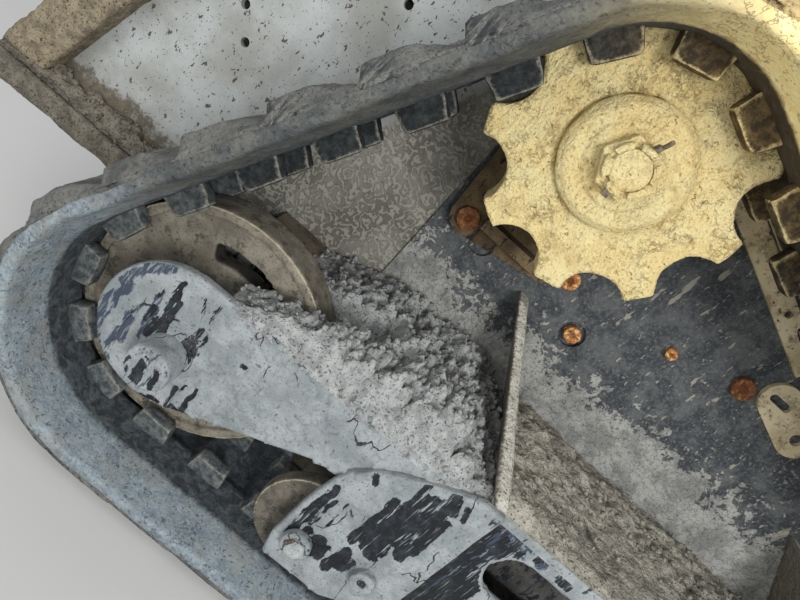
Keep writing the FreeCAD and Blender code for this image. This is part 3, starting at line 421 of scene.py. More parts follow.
def packed_look(name):
    """Mud caked on the track's outside, with fine ridges across it and a few long cracks. Its steep step faces on
    the upper run are painted dark as shade, and near the sprocket it is tan as painted sunlight.
    """
    look = Look(name)
    sunlit_tan_patch = look.attribute("sunlit_tan_patch")
    colour, height = dried(look, tone(116, 116, 111), tone(88, 89, 86), tone(56, 57, 57), 0.03)
    fan = look.step(look.noise(0.0045, 4.0, 0.6, (1, 8, 5), 0.6), 0.42, 0.58)
    shaded_cliff = look.attribute("shaded_cliff")
    # Steep step faces on top of the upper run: painted dark as shade, with lighter flow lines down them.
    colour = look.mix(look.times(shaded_cliff, 0.85), colour, look.mix(fan, tone(46, 50, 54), tone(122, 122, 116)))
    # Near the sprocket: tan mud, bright as painted sunlight.
    colour = look.mix(sunlit_tan_patch, colour, look.mix(look.noise(0.02, 4.0), tone(182, 152, 100), tone(250, 222, 158)))
    ridge = look.noise(0.0032, 3.0, 0.6, (1, 7, 1), 0.8)
    net = look.times(look.cracks(0.040, 0.010, (1, 1, 1), 1.4), look.step(look.noise(0.07, 2.0), 0.54, 0.60))
    colour = look.mix(look.times(look.step(ridge, 0.47, 0.36), 0.5), colour, tone(58, 60, 61))
    colour = look.mix(look.times(net, look.math("SUBTRACT", 1.0, look.times(sunlit_tan_patch, 0.7))), colour, MUD_BLACK)
    height = look.plus(height, look.times(ridge, 2.0))
    return look.done(colour, 0.92, look.math("SUBTRACT", height, net), 1.1 * MM)


def lug_look(name):
    """Guide lug: scuffed faces whose worn edges fade to beige. Its faces are dark on the upper run, partly painted
    shade; by the sprocket they are dark brown as painted shade, with tan edges as painted sunlight.
    """
    look = Look(name)
    edge, sunlit_tan_patch, upper = look.attribute("edge"), look.attribute("sunlit_tan_patch"), look.attribute("upper")
    scuff = look.noise(0.008, 5.0, 0.75)
    fine = look.noise(0.0025, 4.0, 0.7)
    low = look.mix(look.step(scuff, 0.36, 0.66), tone(58, 64, 66), tone(108, 112, 111))
    # Faces on the upper run: dark, partly painted shade.
    high = look.mix(look.step(scuff, 0.36, 0.70), tone(24, 28, 29), tone(58, 62, 63))
    # Faces by the sprocket: dark brown, painted shade on tan mud; their edges take the sunlit tan.
    brown = look.mix(look.step(scuff, 0.40, 0.66), tone(66, 55, 38), tone(122, 102, 66))
    face = look.mix(sunlit_tan_patch, look.mix(upper, low, high), brown)
    border = look.mix(sunlit_tan_patch, tone(142, 139, 127), SUNLIT_TAN)
    level = look.plus(look.plus(look.times(scuff, 0.45), look.times(fine, 0.25)), look.times(edge, 0.30))
    colour = look.mix(look.step(level, 0.50, 0.74), face, border)
    return look.done(colour, 0.85, look.plus(look.times(scuff, 1.5), fine), 0.9 * MM)


def ripples(look, size=0.03, count=9.0):
    """Thin wavy lines of mud, side by side like contours."""
    level = look.times(look.noise(size, 4.0, 0.55), count)
    fold = look.math("PINGPONG", level, 0.5)
    return look.step(look.plus(fold, look.times(look.noise(0.003, 3.0, 0.7), 0.3)), 0.40, 0.50)


def flecks(look, size, stretch=(1, 1, 1), amount=0.0):
    """Scattered small splashes, of uneven size."""
    wide = look.step(look.noise(size, 3.0, 0.6, stretch), 0.645 - amount, 0.675 - amount)
    small = look.step(look.noise(size * 0.4, 2.0, 0.6, stretch), 0.665 - amount, 0.70 - amount)
    return look.math("MAXIMUM", wide, small)


RUN_SLOPE = 0.59


def white_look(name):
    """White panel: dark flecks, brown mud low at the rear, and wavy mud inside the track's loop."""
    look = Look(name)
    cloud = look.noise(0.06, 5.0, 0.6)
    lines = ripples(look, 0.042, 14.0)
    paint = look.mix(look.step(look.noise(0.09, 4.0, 0.6), 0.35, 0.65), WHITE, WHITE_DUSTY)
    paint = look.mix(look.times(flecks(look, 0.0065, (1, 1, 1.5), 0.01), 0.9), paint, tone(58, 52, 42))
    dusting = look.step(look.noise(0.0024, 4.0, 0.75), 0.56, 0.70)
    paint = look.mix(look.times(dusting, 0.45), paint, tone(120, 118, 108))
    splash = look.step(look.noise(0.018, 6.0, 0.75), 0.58, 0.70)
    paint = look.mix(look.times(splash, 0.5), paint, tone(134, 128, 112))
    low = look.step(look.plus(look.times(look.below(285, 200), 0.5), look.times(look.noise(0.02, 6.0, 0.75), 0.8)),
                    0.71, 0.83)
    paint = look.mix(low, paint, look.mix(look.noise(0.006, 4.0, 0.7), MUD_BROWN_DEEP, tone(128, 120, 104)))
    coat = look.mix(look.step(look.noise(0.05, 5.0), 0.4, 0.6), tone(104, 101, 91), tone(132, 130, 120))
    coat = look.mix(look.times(lines, 0.6), coat, tone(168, 166, 155))
    coat = look.mix(look.step(look.noise(0.004, 5.0, 0.7), 0.44, 0.34), coat, tone(84, 80, 70))
    ahead = look.math("SUBTRACT", look.along("X"), look.times(look.along("Z"), RUN_SLOPE))
    edges = [at(x, 0, 234).x - RUN_SLOPE * at(x, 0, 234).z for x in (-135, -70)]
    inside = look.step(ahead, *edges)
    share = look.step(look.plus(look.times(inside, 0.6), look.times(cloud, 0.6)), 0.55, 0.72)
    colour = look.mix(share, paint, coat)
    height = look.plus(look.times(lines, share), look.times(look.noise(0.003, 3.0), 0.5))
    return look.done(colour, 0.75, look.plus(height, low), 0.6 * MM)


def cream_look(name):
    """Cream paint with rubbed edges, tan dust and dark flecks."""
    look = Look(name)
    paint = look.mix(look.step(look.noise(0.05, 5.0, 0.6), 0.36, 0.64), CREAM, tone(178, 162, 128))
    dust = look.step(look.noise(0.012, 6.0, 0.75), 0.52, 0.66)
    paint = look.mix(look.times(dust, 0.6), paint, tone(128, 110, 80))
    paint = look.mix(look.times(flecks(look, 0.006), 0.8), paint, tone(70, 58, 42))
    return look.done(paint, 0.65, look.plus(dust, look.noise(0.003, 3.0)), 0.5 * MM)


def wall_look(name):
    """Dark dusty paint with pale splashes, under a net of mud that thickens downwards."""
    look = Look(name)
    cloud = look.noise(0.07, 6.0, 0.74)
    fine = look.noise(0.004, 4.0, 0.7)
    paint = look.mix(look.step(look.noise(0.03, 6.0, 0.75), 0.42, 0.62), tone(46, 51, 56), tone(84, 87, 88))
    paint = look.mix(look.times(look.step(fine, 0.48, 0.66), 0.5), paint, tone(116, 117, 112))
    pale = look.math("MAXIMUM", flecks(look, 0.007, (1, 1, 2.2), 0.01), flecks(look, 0.016, (1, 1, 3.0), -0.01))
    paint = look.mix(look.times(pale, 0.7), paint, tone(164, 160, 144))
    lines = ripples(look, 0.05, 9.0)
    coat = look.mix(look.step(look.noise(0.03, 4.0, 0.7), 0.4, 0.6), tone(126, 127, 122), tone(158, 158, 153))
    coat = look.mix(look.times(look.cracks(0.016, 0.035, (1, 1, 1), 1.3), 0.6), coat, tone(70, 72, 74))
    coat = look.mix(look.times(look.step(fine, 0.46, 0.34), 0.6), coat, tone(66, 68, 68))
    ahead = look.step(look.along("X"), at(330, 0, 0).x, at(620, 0, 0).x)
    level = look.plus(look.times(look.below(410, 268), 0.62), look.times(cloud, 1.0))
    level = look.plus(level, look.times(ahead, 0.14))
    level = look.plus(level, look.times(look.math("SUBTRACT", look.noise(0.014, 5.0, 0.75), 0.5), 0.9))
    share = look.step(look.plus(level, look.times(lines, 0.10)), 0.83, 0.88)
    colour = look.mix(share, paint, coat)
    height = look.plus(look.times(share, look.plus(lines, 1.0)), look.plus(fine, pale))
    return look.done(colour, look.plus(0.6, look.times(share, 0.35)), height, 0.6 * MM)


def rust_look(name, rust=RUST, pale=RUST_PALE):
    """Orange rust with darker hollows and pale crusts."""
    look = Look(name)
    cloud = look.noise(0.006, 5.0, 0.7)
    colour = look.mix(look.step(cloud, 0.36, 0.56), RUST_DEEP, rust)
    colour = look.mix(look.step(look.noise(0.004, 4.0, 0.6), 0.50, 0.64), colour, pale)
    colour = look.mix(look.times(look.attribute("hollow"), 0.8), colour, RUST_DEEP)
    return look.done(colour, 0.9, look.plus(cloud, look.noise(0.0015, 3.0)), 0.8 * MM)


def wheel_look(name, pale, mid, deep):
    """Idler or roller: brownish mud on its faces and a worn, shiny rim; the idler's recessed web is painted
    near-black as shade.
    """
    look = Look(name)
    colour, height = dried(look, pale, mid, deep, 0.02)
    edge = look.attribute("edge")
    bare = look.step(look.noise(0.012, 4.0, 0.6), 0.57, 0.64)
    colour = look.mix(look.times(bare, 0.55), colour, tone(54, 50, 43))
    # Hollows, the idler's recessed web, are painted near-black as shade.
    colour = look.mix(look.times(look.attribute("hollow"), 0.85), colour, tone(20, 19, 17))
    colour = look.mix(look.times(look.step(look.plus(edge, look.times(look.noise(0.01, 3.0), 0.8)), 1.0, 1.35), 0.7),
                      colour, STEEL)
    rough = look.math("SUBTRACT", 0.9, look.times(edge, 0.4))
    return look.done(colour, rough, height, 0.8 * MM)


# Meshes

def piece(name, points, faces, look, body, attributes=None, smooth=True):
    """Mesh object that rides on a body. Its points are kept inside the CAD box."""
    points = np.clip(points, LOW + BOX_MARGIN, HIGH - BOX_MARGIN)
    mesh = bpy.data.meshes.new(name)
    mesh.from_pydata(points.tolist(), [], [tuple(int(i) for i in face) for face in faces])
    mesh.validate()
    for key, values in (attributes or {}).items():
        mesh.attributes.new(key, "FLOAT", "POINT").data.foreach_set("value", np.asarray(values, "f"))
    mesh.polygons.foreach_set("use_smooth", [smooth] * len(mesh.polygons))
    mesh.materials.append(look)
    obj = bpy.data.objects.new(name, mesh)
    bpy.context.scene.collection.objects.link(obj)
    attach(obj, body)
    return obj


def arrays(mesh):
    """Points, normals and faces of a mesh."""
    points = np.empty(len(mesh.vertices) * 3)
    normals = np.empty(len(mesh.vertices) * 3)
    mesh.vertices.foreach_get("co", points)
    mesh.vertices.foreach_get("normal", normals)
    return points.reshape(-1, 3), normals.reshape(-1, 3), [tuple(face.vertices) for face in mesh.polygons]


def remeshed(cad_nodes, voxel):
    """Small even faces over copies of CAD nodes, as points, normals and faces."""
    points, faces = [], []
    for name in cad_nodes:
        mesh = nodes[name].data
        start = len(points)
        points += [vertex.co[:] for vertex in mesh.vertices]
        faces += [tuple(start + i for i in face.vertices) for face in mesh.polygons]
    source = bpy.data.meshes.new("source")
    source.from_pydata(points, [], faces)
    holder = bpy.data.objects.new("source", source)
    bpy.context.scene.collection.objects.link(holder)
    modifier = holder.modifiers.new("even", "REMESH")
    modifier.mode = "VOXEL"
    modifier.voxel_size = voxel
    made = holder.evaluated_get(bpy.context.evaluated_depsgraph_get()).to_mesh()
    result = arrays(made)
    bpy.data.objects.remove(holder)
    bpy.data.meshes.remove(source)
    return result


def coated(name, cad_nodes, voxel, look, body, shape):
    """Piece that stands for CAD nodes: their form in small faces, shaped by a function.

    shape(points, normals) returns the way that each point goes out along its normal, and attributes.
    """
    points, normals, faces = remeshed(cad_nodes, voxel * MM)
    out, attributes = shape(points, normals)
    obj = piece(name, points + normals * out[:, None], faces, look, body, attributes)
    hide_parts(*cad_nodes)
    return obj


def block_template(counts, half, radius):
    """Rounded block round the origin: points, faces and how near each point is to an edge."""
    index, points, faces = {}, [], []

    def corner(cell):
        if cell not in index:
            index[cell] = len(points)
            points.append([2 * c / n - 1 for c, n in zip(cell, counts)])
        return index[cell]

    for axis in range(3):
        first, second = (axis + 1) % 3, (axis + 2) % 3
        for side in (0, counts[axis]):
            for i in range(counts[first]):
                for j in range(counts[second]):
                    ring = []
                    for a, b in ((0, 0), (1, 0), (1, 1), (0, 1)):
                        cell = [0, 0, 0]
                        cell[axis], cell[first], cell[second] = side, i + a, j + b
                        ring.append(corner(tuple(cell)))
                    faces.append(ring if side else ring[::-1])
    unit = np.array(points)
    half = np.array(half)
    spread = unit * half
    core = np.clip(spread, radius - half, half - radius)
    away = spread - core
    length = np.maximum(np.linalg.norm(away, axis=1), 1e-9)
    spread = core + away * (radius / length)[:, None]
    edge = smooth_step(np.sort(np.abs(unit), axis=1)[:, 1], 0.6, 0.95)
    return spread, np.array(faces), edge


def many(template, matrices):
    """Copies of a template at several matrices, as one set of points, faces and edges."""
    points, faces, edge = template
    everything, rings = [], []
    for number, matrix in enumerate(matrices):
        m = np.array(matrix)
        everything.append(points @ m[:3, :3].T + m[:3, 3])
        rings.append(faces + number * len(points))
    return np.concatenate(everything), np.concatenate(rings), np.tile(edge, len(matrices))


# The rubber track

PITCH = 72 * MM
LINKS = 45
TEETH = 9
CORD_DEPTH = 8 * MM
SEAT_GAP = 0.3 * MM
LUG_PHASE = -14 * MM
CARCASS = 21 * MM
TREAD = 14 * MM
TREAD_TAPER = 16 * MM
TRACK_HALF = 115 * MM
PATH_HALF = 68 * MM
WING_DROP = 8 * MM
GUIDE_MIDDLE = 33.5 * MM
BEND = (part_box("rear_idler_wheel")[1][2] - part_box("rear_idler_wheel")[0][2]) / 2 + SEAT_GAP
DRIVE_BEND = PITCH * TEETH / (2 * math.pi) - CORD_DEPTH
WHEELS = ((IDLER, BEND), (SPROCKET, DRIVE_BEND), (FRONT, BEND))


def belt_runs():
    """Runs of the loop: start wheel, end wheel, normal's angle, straight length and turn."""
    spans = []
    for i in range(3):
        (start, near), (end, far) = WHEELS[i], WHEELS[(i + 1) % 3]
        dx, dz = end.x - start.x, end.z - start.z
        apart = math.hypot(dx, dz)
        cosine = (near - far) / apart
        spans.append((math.atan2(dz, dx) + math.acos(cosine), apart * math.sqrt(1 - cosine ** 2)))
    return [(WHEELS[i], WHEELS[(i + 1) % 3], spans[i][0], spans[i][1],
             (spans[i][0] - spans[(i + 1) % 3][0]) % (2 * math.pi)) for i in range(3)]


RUNS = belt_runs()


def belt_place(distance):
    """Point on the track's inner face at a distance along its cords, and its outward normal's angle."""
    left = distance % (PITCH * LINKS)
    for (start, near), (wheel, far), normal, straight, turn in RUNS:
        bend = turn * (far + CORD_DEPTH)
        if left > straight + bend:
            left -= straight + bend
            continue
        angle, centre, radius, run = normal, start, near, left
        if left > straight:
            angle = normal - (left - straight) / (far + CORD_DEPTH)
            centre, radius, run = wheel, far, 0.0
        return (centre.x + radius * math.cos(angle) + run * math.sin(angle),
                centre.z + radius * math.sin(angle) - run * math.cos(angle), angle)


def belt_matrix(distance, y=0.0, out=0.0):
    """Matrix at a distance along the track: X along it, Y across it and Z outward."""
    x, z, angle = belt_place(distance)
    normal = Vector((math.cos(angle), 0, math.sin(angle)))
    along = Vector((math.sin(angle), 0, -math.cos(angle)))
    place = Vector((x, IDLER.y + y, z)) + normal * out
    across = normal.cross(along)
    return Matrix(((along.x, across.x, normal.x, place.x), (along.y, across.y, normal.y, place.y),
                   (along.z, across.z, normal.z, place.z), (0, 0, 0, 1)))


BELT_STATIONS = 720
MUD_STATIONS = 900
EDGE_ROUND = 3.5 * MM
POCKET = 7 * MM


def swept(stations, across, depth):
    """Points of a strip along the loop, for depth(distance, y) below the inner face; with angles."""
    points, angles = [], []
    for station in range(stations):
        distance = PITCH * LINKS * station / stations
        x, z, angle = belt_place(distance)
        down = depth(distance, across)
        points.append(np.stack([x + down * math.cos(angle), IDLER.y + across, z + down * math.sin(angle)],
                               axis=1))
        angles.append(np.full(len(across), angle))
    return np.concatenate(points), np.concatenate(angles)


def strip_faces(stations, count, closed):
    """Faces between the rows of a strip that closes on itself along the loop."""
    faces = []
    for station in range(stations):
        after = (station + 1) % stations
        for i in range(count if closed else count - 1):
            j = (i + 1) % count
            faces.append((station * count + i, station * count + j, after * count + j, after * count + i))
    return faces


def belt_profile():
    """Section of the track's body as y and depth below its inner face, from edge to edge and back."""
    half = TRACK_HALF
    inner = [(y, WING_DROP * max(0.0, abs(y) - PATH_HALF) / (half - PATH_HALF))
             for y in np.linspace(-half + EDGE_ROUND, half - EDGE_ROUND, 44)]
    right = [(half - 1 * MM, WING_DROP + 1 * MM), (half, WING_DROP + EDGE_ROUND),
             (half, CARCASS - EDGE_ROUND), (half - 1 * MM, CARCASS - 1 * MM)]
    outer = [(y, CARCASS - 1 * MM) for y in np.linspace(half - EDGE_ROUND, -half + EDGE_ROUND, 14)]
    return np.array(inner + right + outer + [(-y, t) for y, t in reversed(right)])


def link_step(distance, shift=0.0):
    """Millimetres past the rear foot of a tread lug, from 0 to one pitch."""
    return ((distance - LUG_PHASE - shift) / MM + 22) % 72


def outward(angles):
    return np.stack([np.cos(angles), np.zeros(len(angles)), np.sin(angles)], axis=1)


def sunlit_tan_patch_share(points):
    """How far mud is tan and painted as sunlit, near the sprocket and over it: painted sunlight on tan mud."""
    x, y, z = own(points)
    return smooth_step(x, 60, 190) * smooth_step(z, 500, 610) * smooth_step(x, 520, 330)


def make_track_body():
    profile = belt_profile()
    count = len(profile)

    def depth(distance, across):
        between = (distance - LUG_PHASE) % PITCH - PITCH / 2
        hole = smooth_step(abs(between), 21 * MM, 15 * MM) * smooth_step(np.abs(across), 23 * MM, 17 * MM)
        inner = np.arange(count) < 44
        return profile[:, 1] + np.where(inner, hole * POCKET, 0.0)

    points, angles = swept(BELT_STATIONS, profile[:, 0], depth)
    side = np.tile(np.abs(profile[:, 0]) / TRACK_HALF, BELT_STATIONS)
    inside = np.tile(profile[:, 1], BELT_STATIONS) < CARCASS / 2
    wing = smooth_step(side, 0.57, 0.64)
    rough = noise(points, 0.03, 3, 3) * 1.3 * MM * wing + noise(points, 0.008, 5, 2) * 0.45 * MM
    points += outward(angles) * np.where(inside, -rough, 0.0)[:, None]
    pull = (1.2 * MM + noise(points, 0.022, 7, 3) * 1.1 * MM) * smooth_step(side, 0.93, 1.0)
    points[:, 1] -= np.sign(points[:, 1] - IDLER.y) * pull
    x, y, z = own(points)
    # upper: the upper run, whose mud is darker and less dusty, partly as painted shade.
    upper = smooth_step(z, 230, 330)
    sunlit_tan_patch = sunlit_tan_patch_share(points)
    dust = np.where(inside, 0.02 + wing * (0.56 - 0.16 * upper), 0.46) + 0.3 * sunlit_tan_patch * np.maximum(wing, 0.4)
    piece("track_body", points, strip_faces(BELT_STATIONS, count, True), LOOKS["rubber"], "undercarriage",
          {"dust": dust, "sunlit_tan_patch": sunlit_tan_patch, "upper": upper})


def make_packed_mud():
    """Mud round the tread lugs: from each lug's crown it slopes down to the foot of the next."""
    inner = np.linspace(-TRACK_HALF + 0.9 * MM, TRACK_HALF - 0.9 * MM, 76)
    across = np.concatenate([[-TRACK_HALF + 4 * MM], inner, [TRACK_HALF - 4 * MM]])
    sunk = np.zeros(len(across))
    sunk[[0, -1]] = 7.0

    def row(distance, shift):
        past = link_step(distance, shift)
        return np.interp(past, [0, 4, 38, 68, 72], [0.5, 14.6, 13.4, 2.0, 0.5])

    def depth(distance, y):
        far = smooth_step(y, -24 * MM, 24 * MM)
        height = row(distance, 0.0) * (1 - far) + row(distance, PITCH / 2) * far
        height = height * (1 - 0.45 * smooth_step(np.abs(y), 30 * MM, 20 * MM))
        edge = np.clip((TRACK_HALF - np.abs(y)) / TREAD_TAPER, 0.1, 1)
        return CARCASS + (height * edge - 0.6 - sunk) * MM

    points, angles = swept(MUD_STATIONS, across, depth)
    ridges = noise(points * np.array([1.0, 0.2, 1.0]), 0.0045, 14, 2) * 0.8
    rough = (noise(points, 0.018, 12, 3) * 1.1 + ridges + 0.2) * MM
    edge = np.clip((TRACK_HALF - np.abs(points[:, 1] - IDLER.y)) / (8 * MM), 0.2, 1)
    points += outward(angles) * (rough * edge)[:, None]
    x, y, z = own(points)
    past = np.repeat([link_step(PITCH * LINKS * station / MUD_STATIONS) for station in range(MUD_STATIONS)],
                     len(across))
    outside = smooth_step(y, -TRACK_HALF / MM + 20, -TRACK_HALF / MM + 10)
    # Steep faces on top of the upper run, to be painted dark as shade.
    shaded_cliff = np.maximum(smooth_step(past, 15, 3), smooth_step(past, 36, 14) * outside) * smooth_step(z, 330, 400)
    piece("packed_mud", points, strip_faces(MUD_STATIONS, len(across), False), LOOKS["packed"],
          "undercarriage", {"shaded_cliff": shaded_cliff, "sunlit_tan_patch": sunlit_tan_patch_share(points)})


def make_lugs():
    """Guide lugs inside the track and tread lugs outside it."""
    guide = block_template((7, 5, 5), (21 * MM, 8.6 * MM, 12 * MM), 4 * MM)
    guide[0][:, 0] *= 1 - 0.14 * smooth_step(-guide[0][:, 2], -12 * MM, 12 * MM)
    matrices = [belt_matrix(LUG_PHASE + link * PITCH, y, -8.2 * MM)
                for link in range(LINKS) for y in (-GUIDE_MIDDLE, GUIDE_MIDDLE)]
    points, faces, edge = many(guide, matrices)
    points += noise(points, 0.014, 9, 2)[:, None] * 0.7 * MM
    x, y, z = own(points)
    # upper: the upper run, where lug faces are dark, partly as painted shade.
    piece("guide_lugs", points, faces, LOOKS["lug"], "undercarriage",
          {"edge": edge, "sunlit_tan_patch": sunlit_tan_patch_share(points), "upper": smooth_step(z, 230, 330)})

    tread = block_template((7, 12, 4), (22 * MM, 44.2 * MM, 9 * MM), 3 * MM)
    shape = tread[0]
    shape[:, 0] *= 1 - 0.27 * smooth_step(shape[:, 2], -5 * MM, 9 * MM)
    for side, half_link in ((-1, 0.0), (1, 0.5)):
        local = shape.copy()
        past = np.clip((side * local[:, 1] - 28 * MM) / TREAD_TAPER, 0, 1)
        local[:, 2] -= past * np.clip(local[:, 2] + 5 * MM, 0, 13 * MM)
        matrices = [belt_matrix(LUG_PHASE + (link + half_link) * PITCH, side * 70.6 * MM,
                                CARCASS + TREAD - 9.2 * MM) for link in range(LINKS)]
        points, faces, edge = many((local, tread[1], tread[2]), matrices)
        points += noise(points, 0.02, 13, 2)[:, None] * 0.9 * MM
        x, y, z = own(points)
        # Steep front faces of the tread lugs on top, to be painted dark as shade.
        front = smooth_step(-local[:, 0], 12 * MM, 19 * MM)
        shaded_cliff = np.maximum(front, smooth_step(-local[:, 0], -14 * MM, 4 * MM) * smooth_step(past, 0.1, 0.5))
        shaded_cliff = np.tile(shaded_cliff, LINKS) * smooth_step(z, 330, 400)
        obj = piece("tread_lugs_" + ("left" if side > 0 else "right"), points, faces, LOOKS["packed"],
                    "undercarriage", {"shaded_cliff": shaded_cliff, "sunlit_tan_patch": sunlit_tan_patch_share(points)})
        if side < 0:
            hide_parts("track_belt")


# Shapes of the coats on CAD nodes

# Places where the mud is off the dark paint: x, z, x, z and half width.
ARM_BARE = (
    (-24, 231, -25, 213, 3.3), (-26, 212, -16, 182, 2.9), (-18, 217, -15, 189, 2.8),
    (-36, 215, -37, 209, 2.5), (-34, 196, -33, 181, 2.3), (-23, 188, -24, 174, 4.7),
    (12, 210, 8, 185, 4.3), (16, 204, 17, 178, 3.0), (-1, 238, 4, 221, 1.4), (12, 239, 13, 222, 1.1),
    (24, 145, 27, 118, 2.2), (39, 155, 40, 128, 2.2), (32, 122, 43, 124, 4.7), (10, 115, 18, 114, 2.9),
    (57, 208, 62, 207, 2.3), (-1, 109, 11, 113, 2.4), (29, 154, 28, 143, 1.1))
ARM_FILM = (
    (-59, 218, -69, 195, 4.6), (-60, 199, -70, 165, 4.6), (-67, 176, -68, 146, 4.8),
    (-68, 146, -60, 124, 4.4), (-49, 149, -49, 124, 3.6), (-44, 170, -42, 145, 4.0),
    (-44, 186, -49, 171, 2.6), (-36, 206, -31, 178, 4.5), (-53, 125, -42, 121, 3.5),
    (-29, 180, -29, 164, 3.5), (-40, 236, -58, 222, 5.0))
BOSS_BARE = (
    (-6, 172, -2, 147, 4.6), (8, 177, 11, 157, 2.7), (-14, 158, -14, 148, 2.5),
    (-16, 170, -18, 160, 1.3), (-5, 180, -1, 179, 1.7))
BRACKET_BARE = (
    (192, 180, 190, 157, 3.8), (192, 155, 190, 127, 5.8), (190, 123, 190, 106, 4.8),
    (203, 121, 195, 100, 4.4), (216, 120, 218, 102, 6.7), (242, 127, 239, 99, 6.7),
    (253, 124, 250, 109, 4.3), (238, 209, 235, 142, 4.4), (248, 203, 247, 147, 3.9),
    (253, 230, 255, 152, 5.6), (260, 237, 261, 186, 4.2), (260, 192, 264, 153, 4.5),
    (270, 245, 275, 203, 7.3), (274, 209, 277, 164, 6.6), (270, 250, 276, 237, 6.8),
    (209, 215, 213, 209, 3.0), (209, 173, 210, 140, 1.1), (284, 253, 288, 239, 2.6),
    (252, 147, 261, 144, 5.7), (246, 243, 247, 205, 3.0), (264, 225, 267, 170, 3.6), (246, 205, 243, 150, 2.6),
    (200, 168, 199, 128, 2.2), (226, 118, 228, 100, 3.2), (282, 225, 284, 180, 3.4))
FRAME_BARE = (
    (314, 261, 313, 210, 4.9), (313, 210, 313, 157, 4.6), (328, 259, 323, 209, 2.6),
    (323, 209, 322, 164, 2.6), (341, 258, 340, 201, 3.9), (345, 207, 336, 139, 13.9),
    (368, 267, 365, 250, 3.0), (414, 269, 412, 252, 3.1), (297, 276, 300, 263, 2.6),
    (330, 249, 333, 238, 2.7), (318, 196, 314, 120, 9.0), (334, 150, 330, 90, 16.0),
    (352, 246, 350, 238, 3.0), (303, 232, 301, 130, 4.4), (322, 200, 317, 100, 6.0), (299, 262, 298, 226, 2.6),
    (306, 256, 304, 214, 2.2), (320, 262, 319, 216, 2.2), (334, 240, 331, 204, 2.6), (334, 200, 331, 160, 4.0))
FRAME_FILM = (
    (328, 269, 326, 206, 4.9), (326, 206, 322, 141, 5.2), (308, 265, 306, 188, 3.9),
    (370, 274, 370, 249, 4.9), (302, 262, 300, 120, 5.0), (318, 262, 314, 120, 6.0), (336, 266, 333, 215, 6.0),
    (352, 270, 350, 246, 6.0))
SKIN = 1.0 * MM
AXLE_SKIRT = 9.0 * MM


def wavered(points, x, z):
    """Coordinates moved a little, so that lines drawn with them are wavy."""
    return x + 1.6 * noise(points, 0.010, 86, 2), z + 3.0 * noise(points, 0.014, 88, 2)


def outboard(normals):
    """1 on faces that look outboard."""
    return smooth_step(-normals[:, 1], 0.3, 0.8)


def sprocket_coat(points, normals):
    lumps = clods(points, 0.022, 3) * 1.3 * MM + clods(points, 0.010, 2) * 0.8 * MM
    waves = noise(points, 0.032, 4, 4, 0.65) * 1.6 * MM
    rough = lumps + waves
    # Low places of the mud are marked as hollow, to be painted darker as shade.
    hollow = smooth_step(rough / MM, 0.4, -0.9)
    return rough * (0.4 + 0.6 * outboard(normals)) - 0.5 * MM, {"hollow": hollow}


def plain_coat(amount):
    def shape(points, normals):
        rough = noise(points, 0.014, 8, 3) * 0.6 + clods(points, 0.009, 5) * 0.4
        none = np.zeros(len(points))
        # Low places are marked as hollow, to be painted darker as shade.
        return rough * amount * MM, {"bare": none, "film": none, "hollow": smooth_step(rough, 0.0, -0.4)}
    return shape


def caked(points, normals):
    """Thick uneven mud on the chassis's rear edge."""
    rough = noise(points, 0.03, 55, 4, 0.65) * 2.2 * MM + clods(points, 0.016, 56) * 2.2 * MM
    return rough * (0.4 + 0.6 * outboard(normals)), {}


def arm_coat(points, normals):
    """Mud skin of the arm, a skirt of it round the axle, lumps, and places where it is off."""
    x, y, z = own(points)
    face = outboard(normals) * smooth_step(y, -60, -68)
    wavy_x, wavy_z = wavered(points, x, z)
    bare = strokes(wavy_x, wavy_z, ARM_BARE) * face
    film = strokes(wavy_x, wavy_z, ARM_FILM, 7.0) * face
    skirt = AXLE_SKIRT * smooth_step(np.hypot(x, z - AXIS_Z), 38, 19) * face
    lumps = np.maximum(0, noise(points, 0.0065, 21) - 0.30) * 7 * MM * smooth_step(x, -10, 50) * face
    skin = noise(points, 0.03, 22, 3) * 0.6 * MM + SKIN * (1 - smooth_step(bare, 0.35, 0.6))
    return skin + lumps + skirt, {"bare": bare, "film": film}


def boss_coat(points, normals):
    x, y, z = own(points)
    face = outboard(normals) * smooth_step(y, -104, -108)
    bare = strokes(*wavered(points, x, z), BOSS_BARE) * face
    rough = noise(points, 0.012, 24, 3) * 0.9 * MM + clods(points, 0.010, 25) * 0.8 * MM
    return rough + 0.6 * MM * (1 - bare), {"bare": bare, "film": 0.42 * face}


def oval_edge(x, z):
    """Distance from the edge of the nearest oval hole in the frame's sides."""
    along = x - 342 - 28
    along = along - 195 * np.clip(np.round((along - 47) / 195), 0, 2)
    return np.abs(np.hypot(along - np.clip(along, 0, 94), z - 215) - 28)


def bare_side(lines, film_lines, seen_from, share):
    """Coat of a frame side or bracket: lines where the photograph shows them, drips further on."""
    def shape(points, normals):
        x, y, z = own(points)
        face = np.abs(normals[:, 1]) > 0.5
        wavy_x, wavy_z = wavered(points, x, z)
        shown = smooth_step(x, seen_from + 25, seen_from) * outboard(normals)
        bare = strokes(wavy_x, wavy_z, lines) * shown + drips(points, share) * (1 - shown) * face
        bare *= smooth_step(oval_edge(x, z), 1.5, 4.0)
        film = strokes(wavy_x, wavy_z, film_lines, 8.0) * shown
        lumps = np.maximum(0, noise(points, 0.008, 33) - 0.42) * 6 * MM * outboard(normals)
        skin = noise(points, 0.02, 34, 2) * 0.5 * MM + SKIN * (1 - smooth_step(bare, 0.35, 0.6))
        return skin + lumps * (1 - bare), {"bare": bare, "film": film}
    return shape


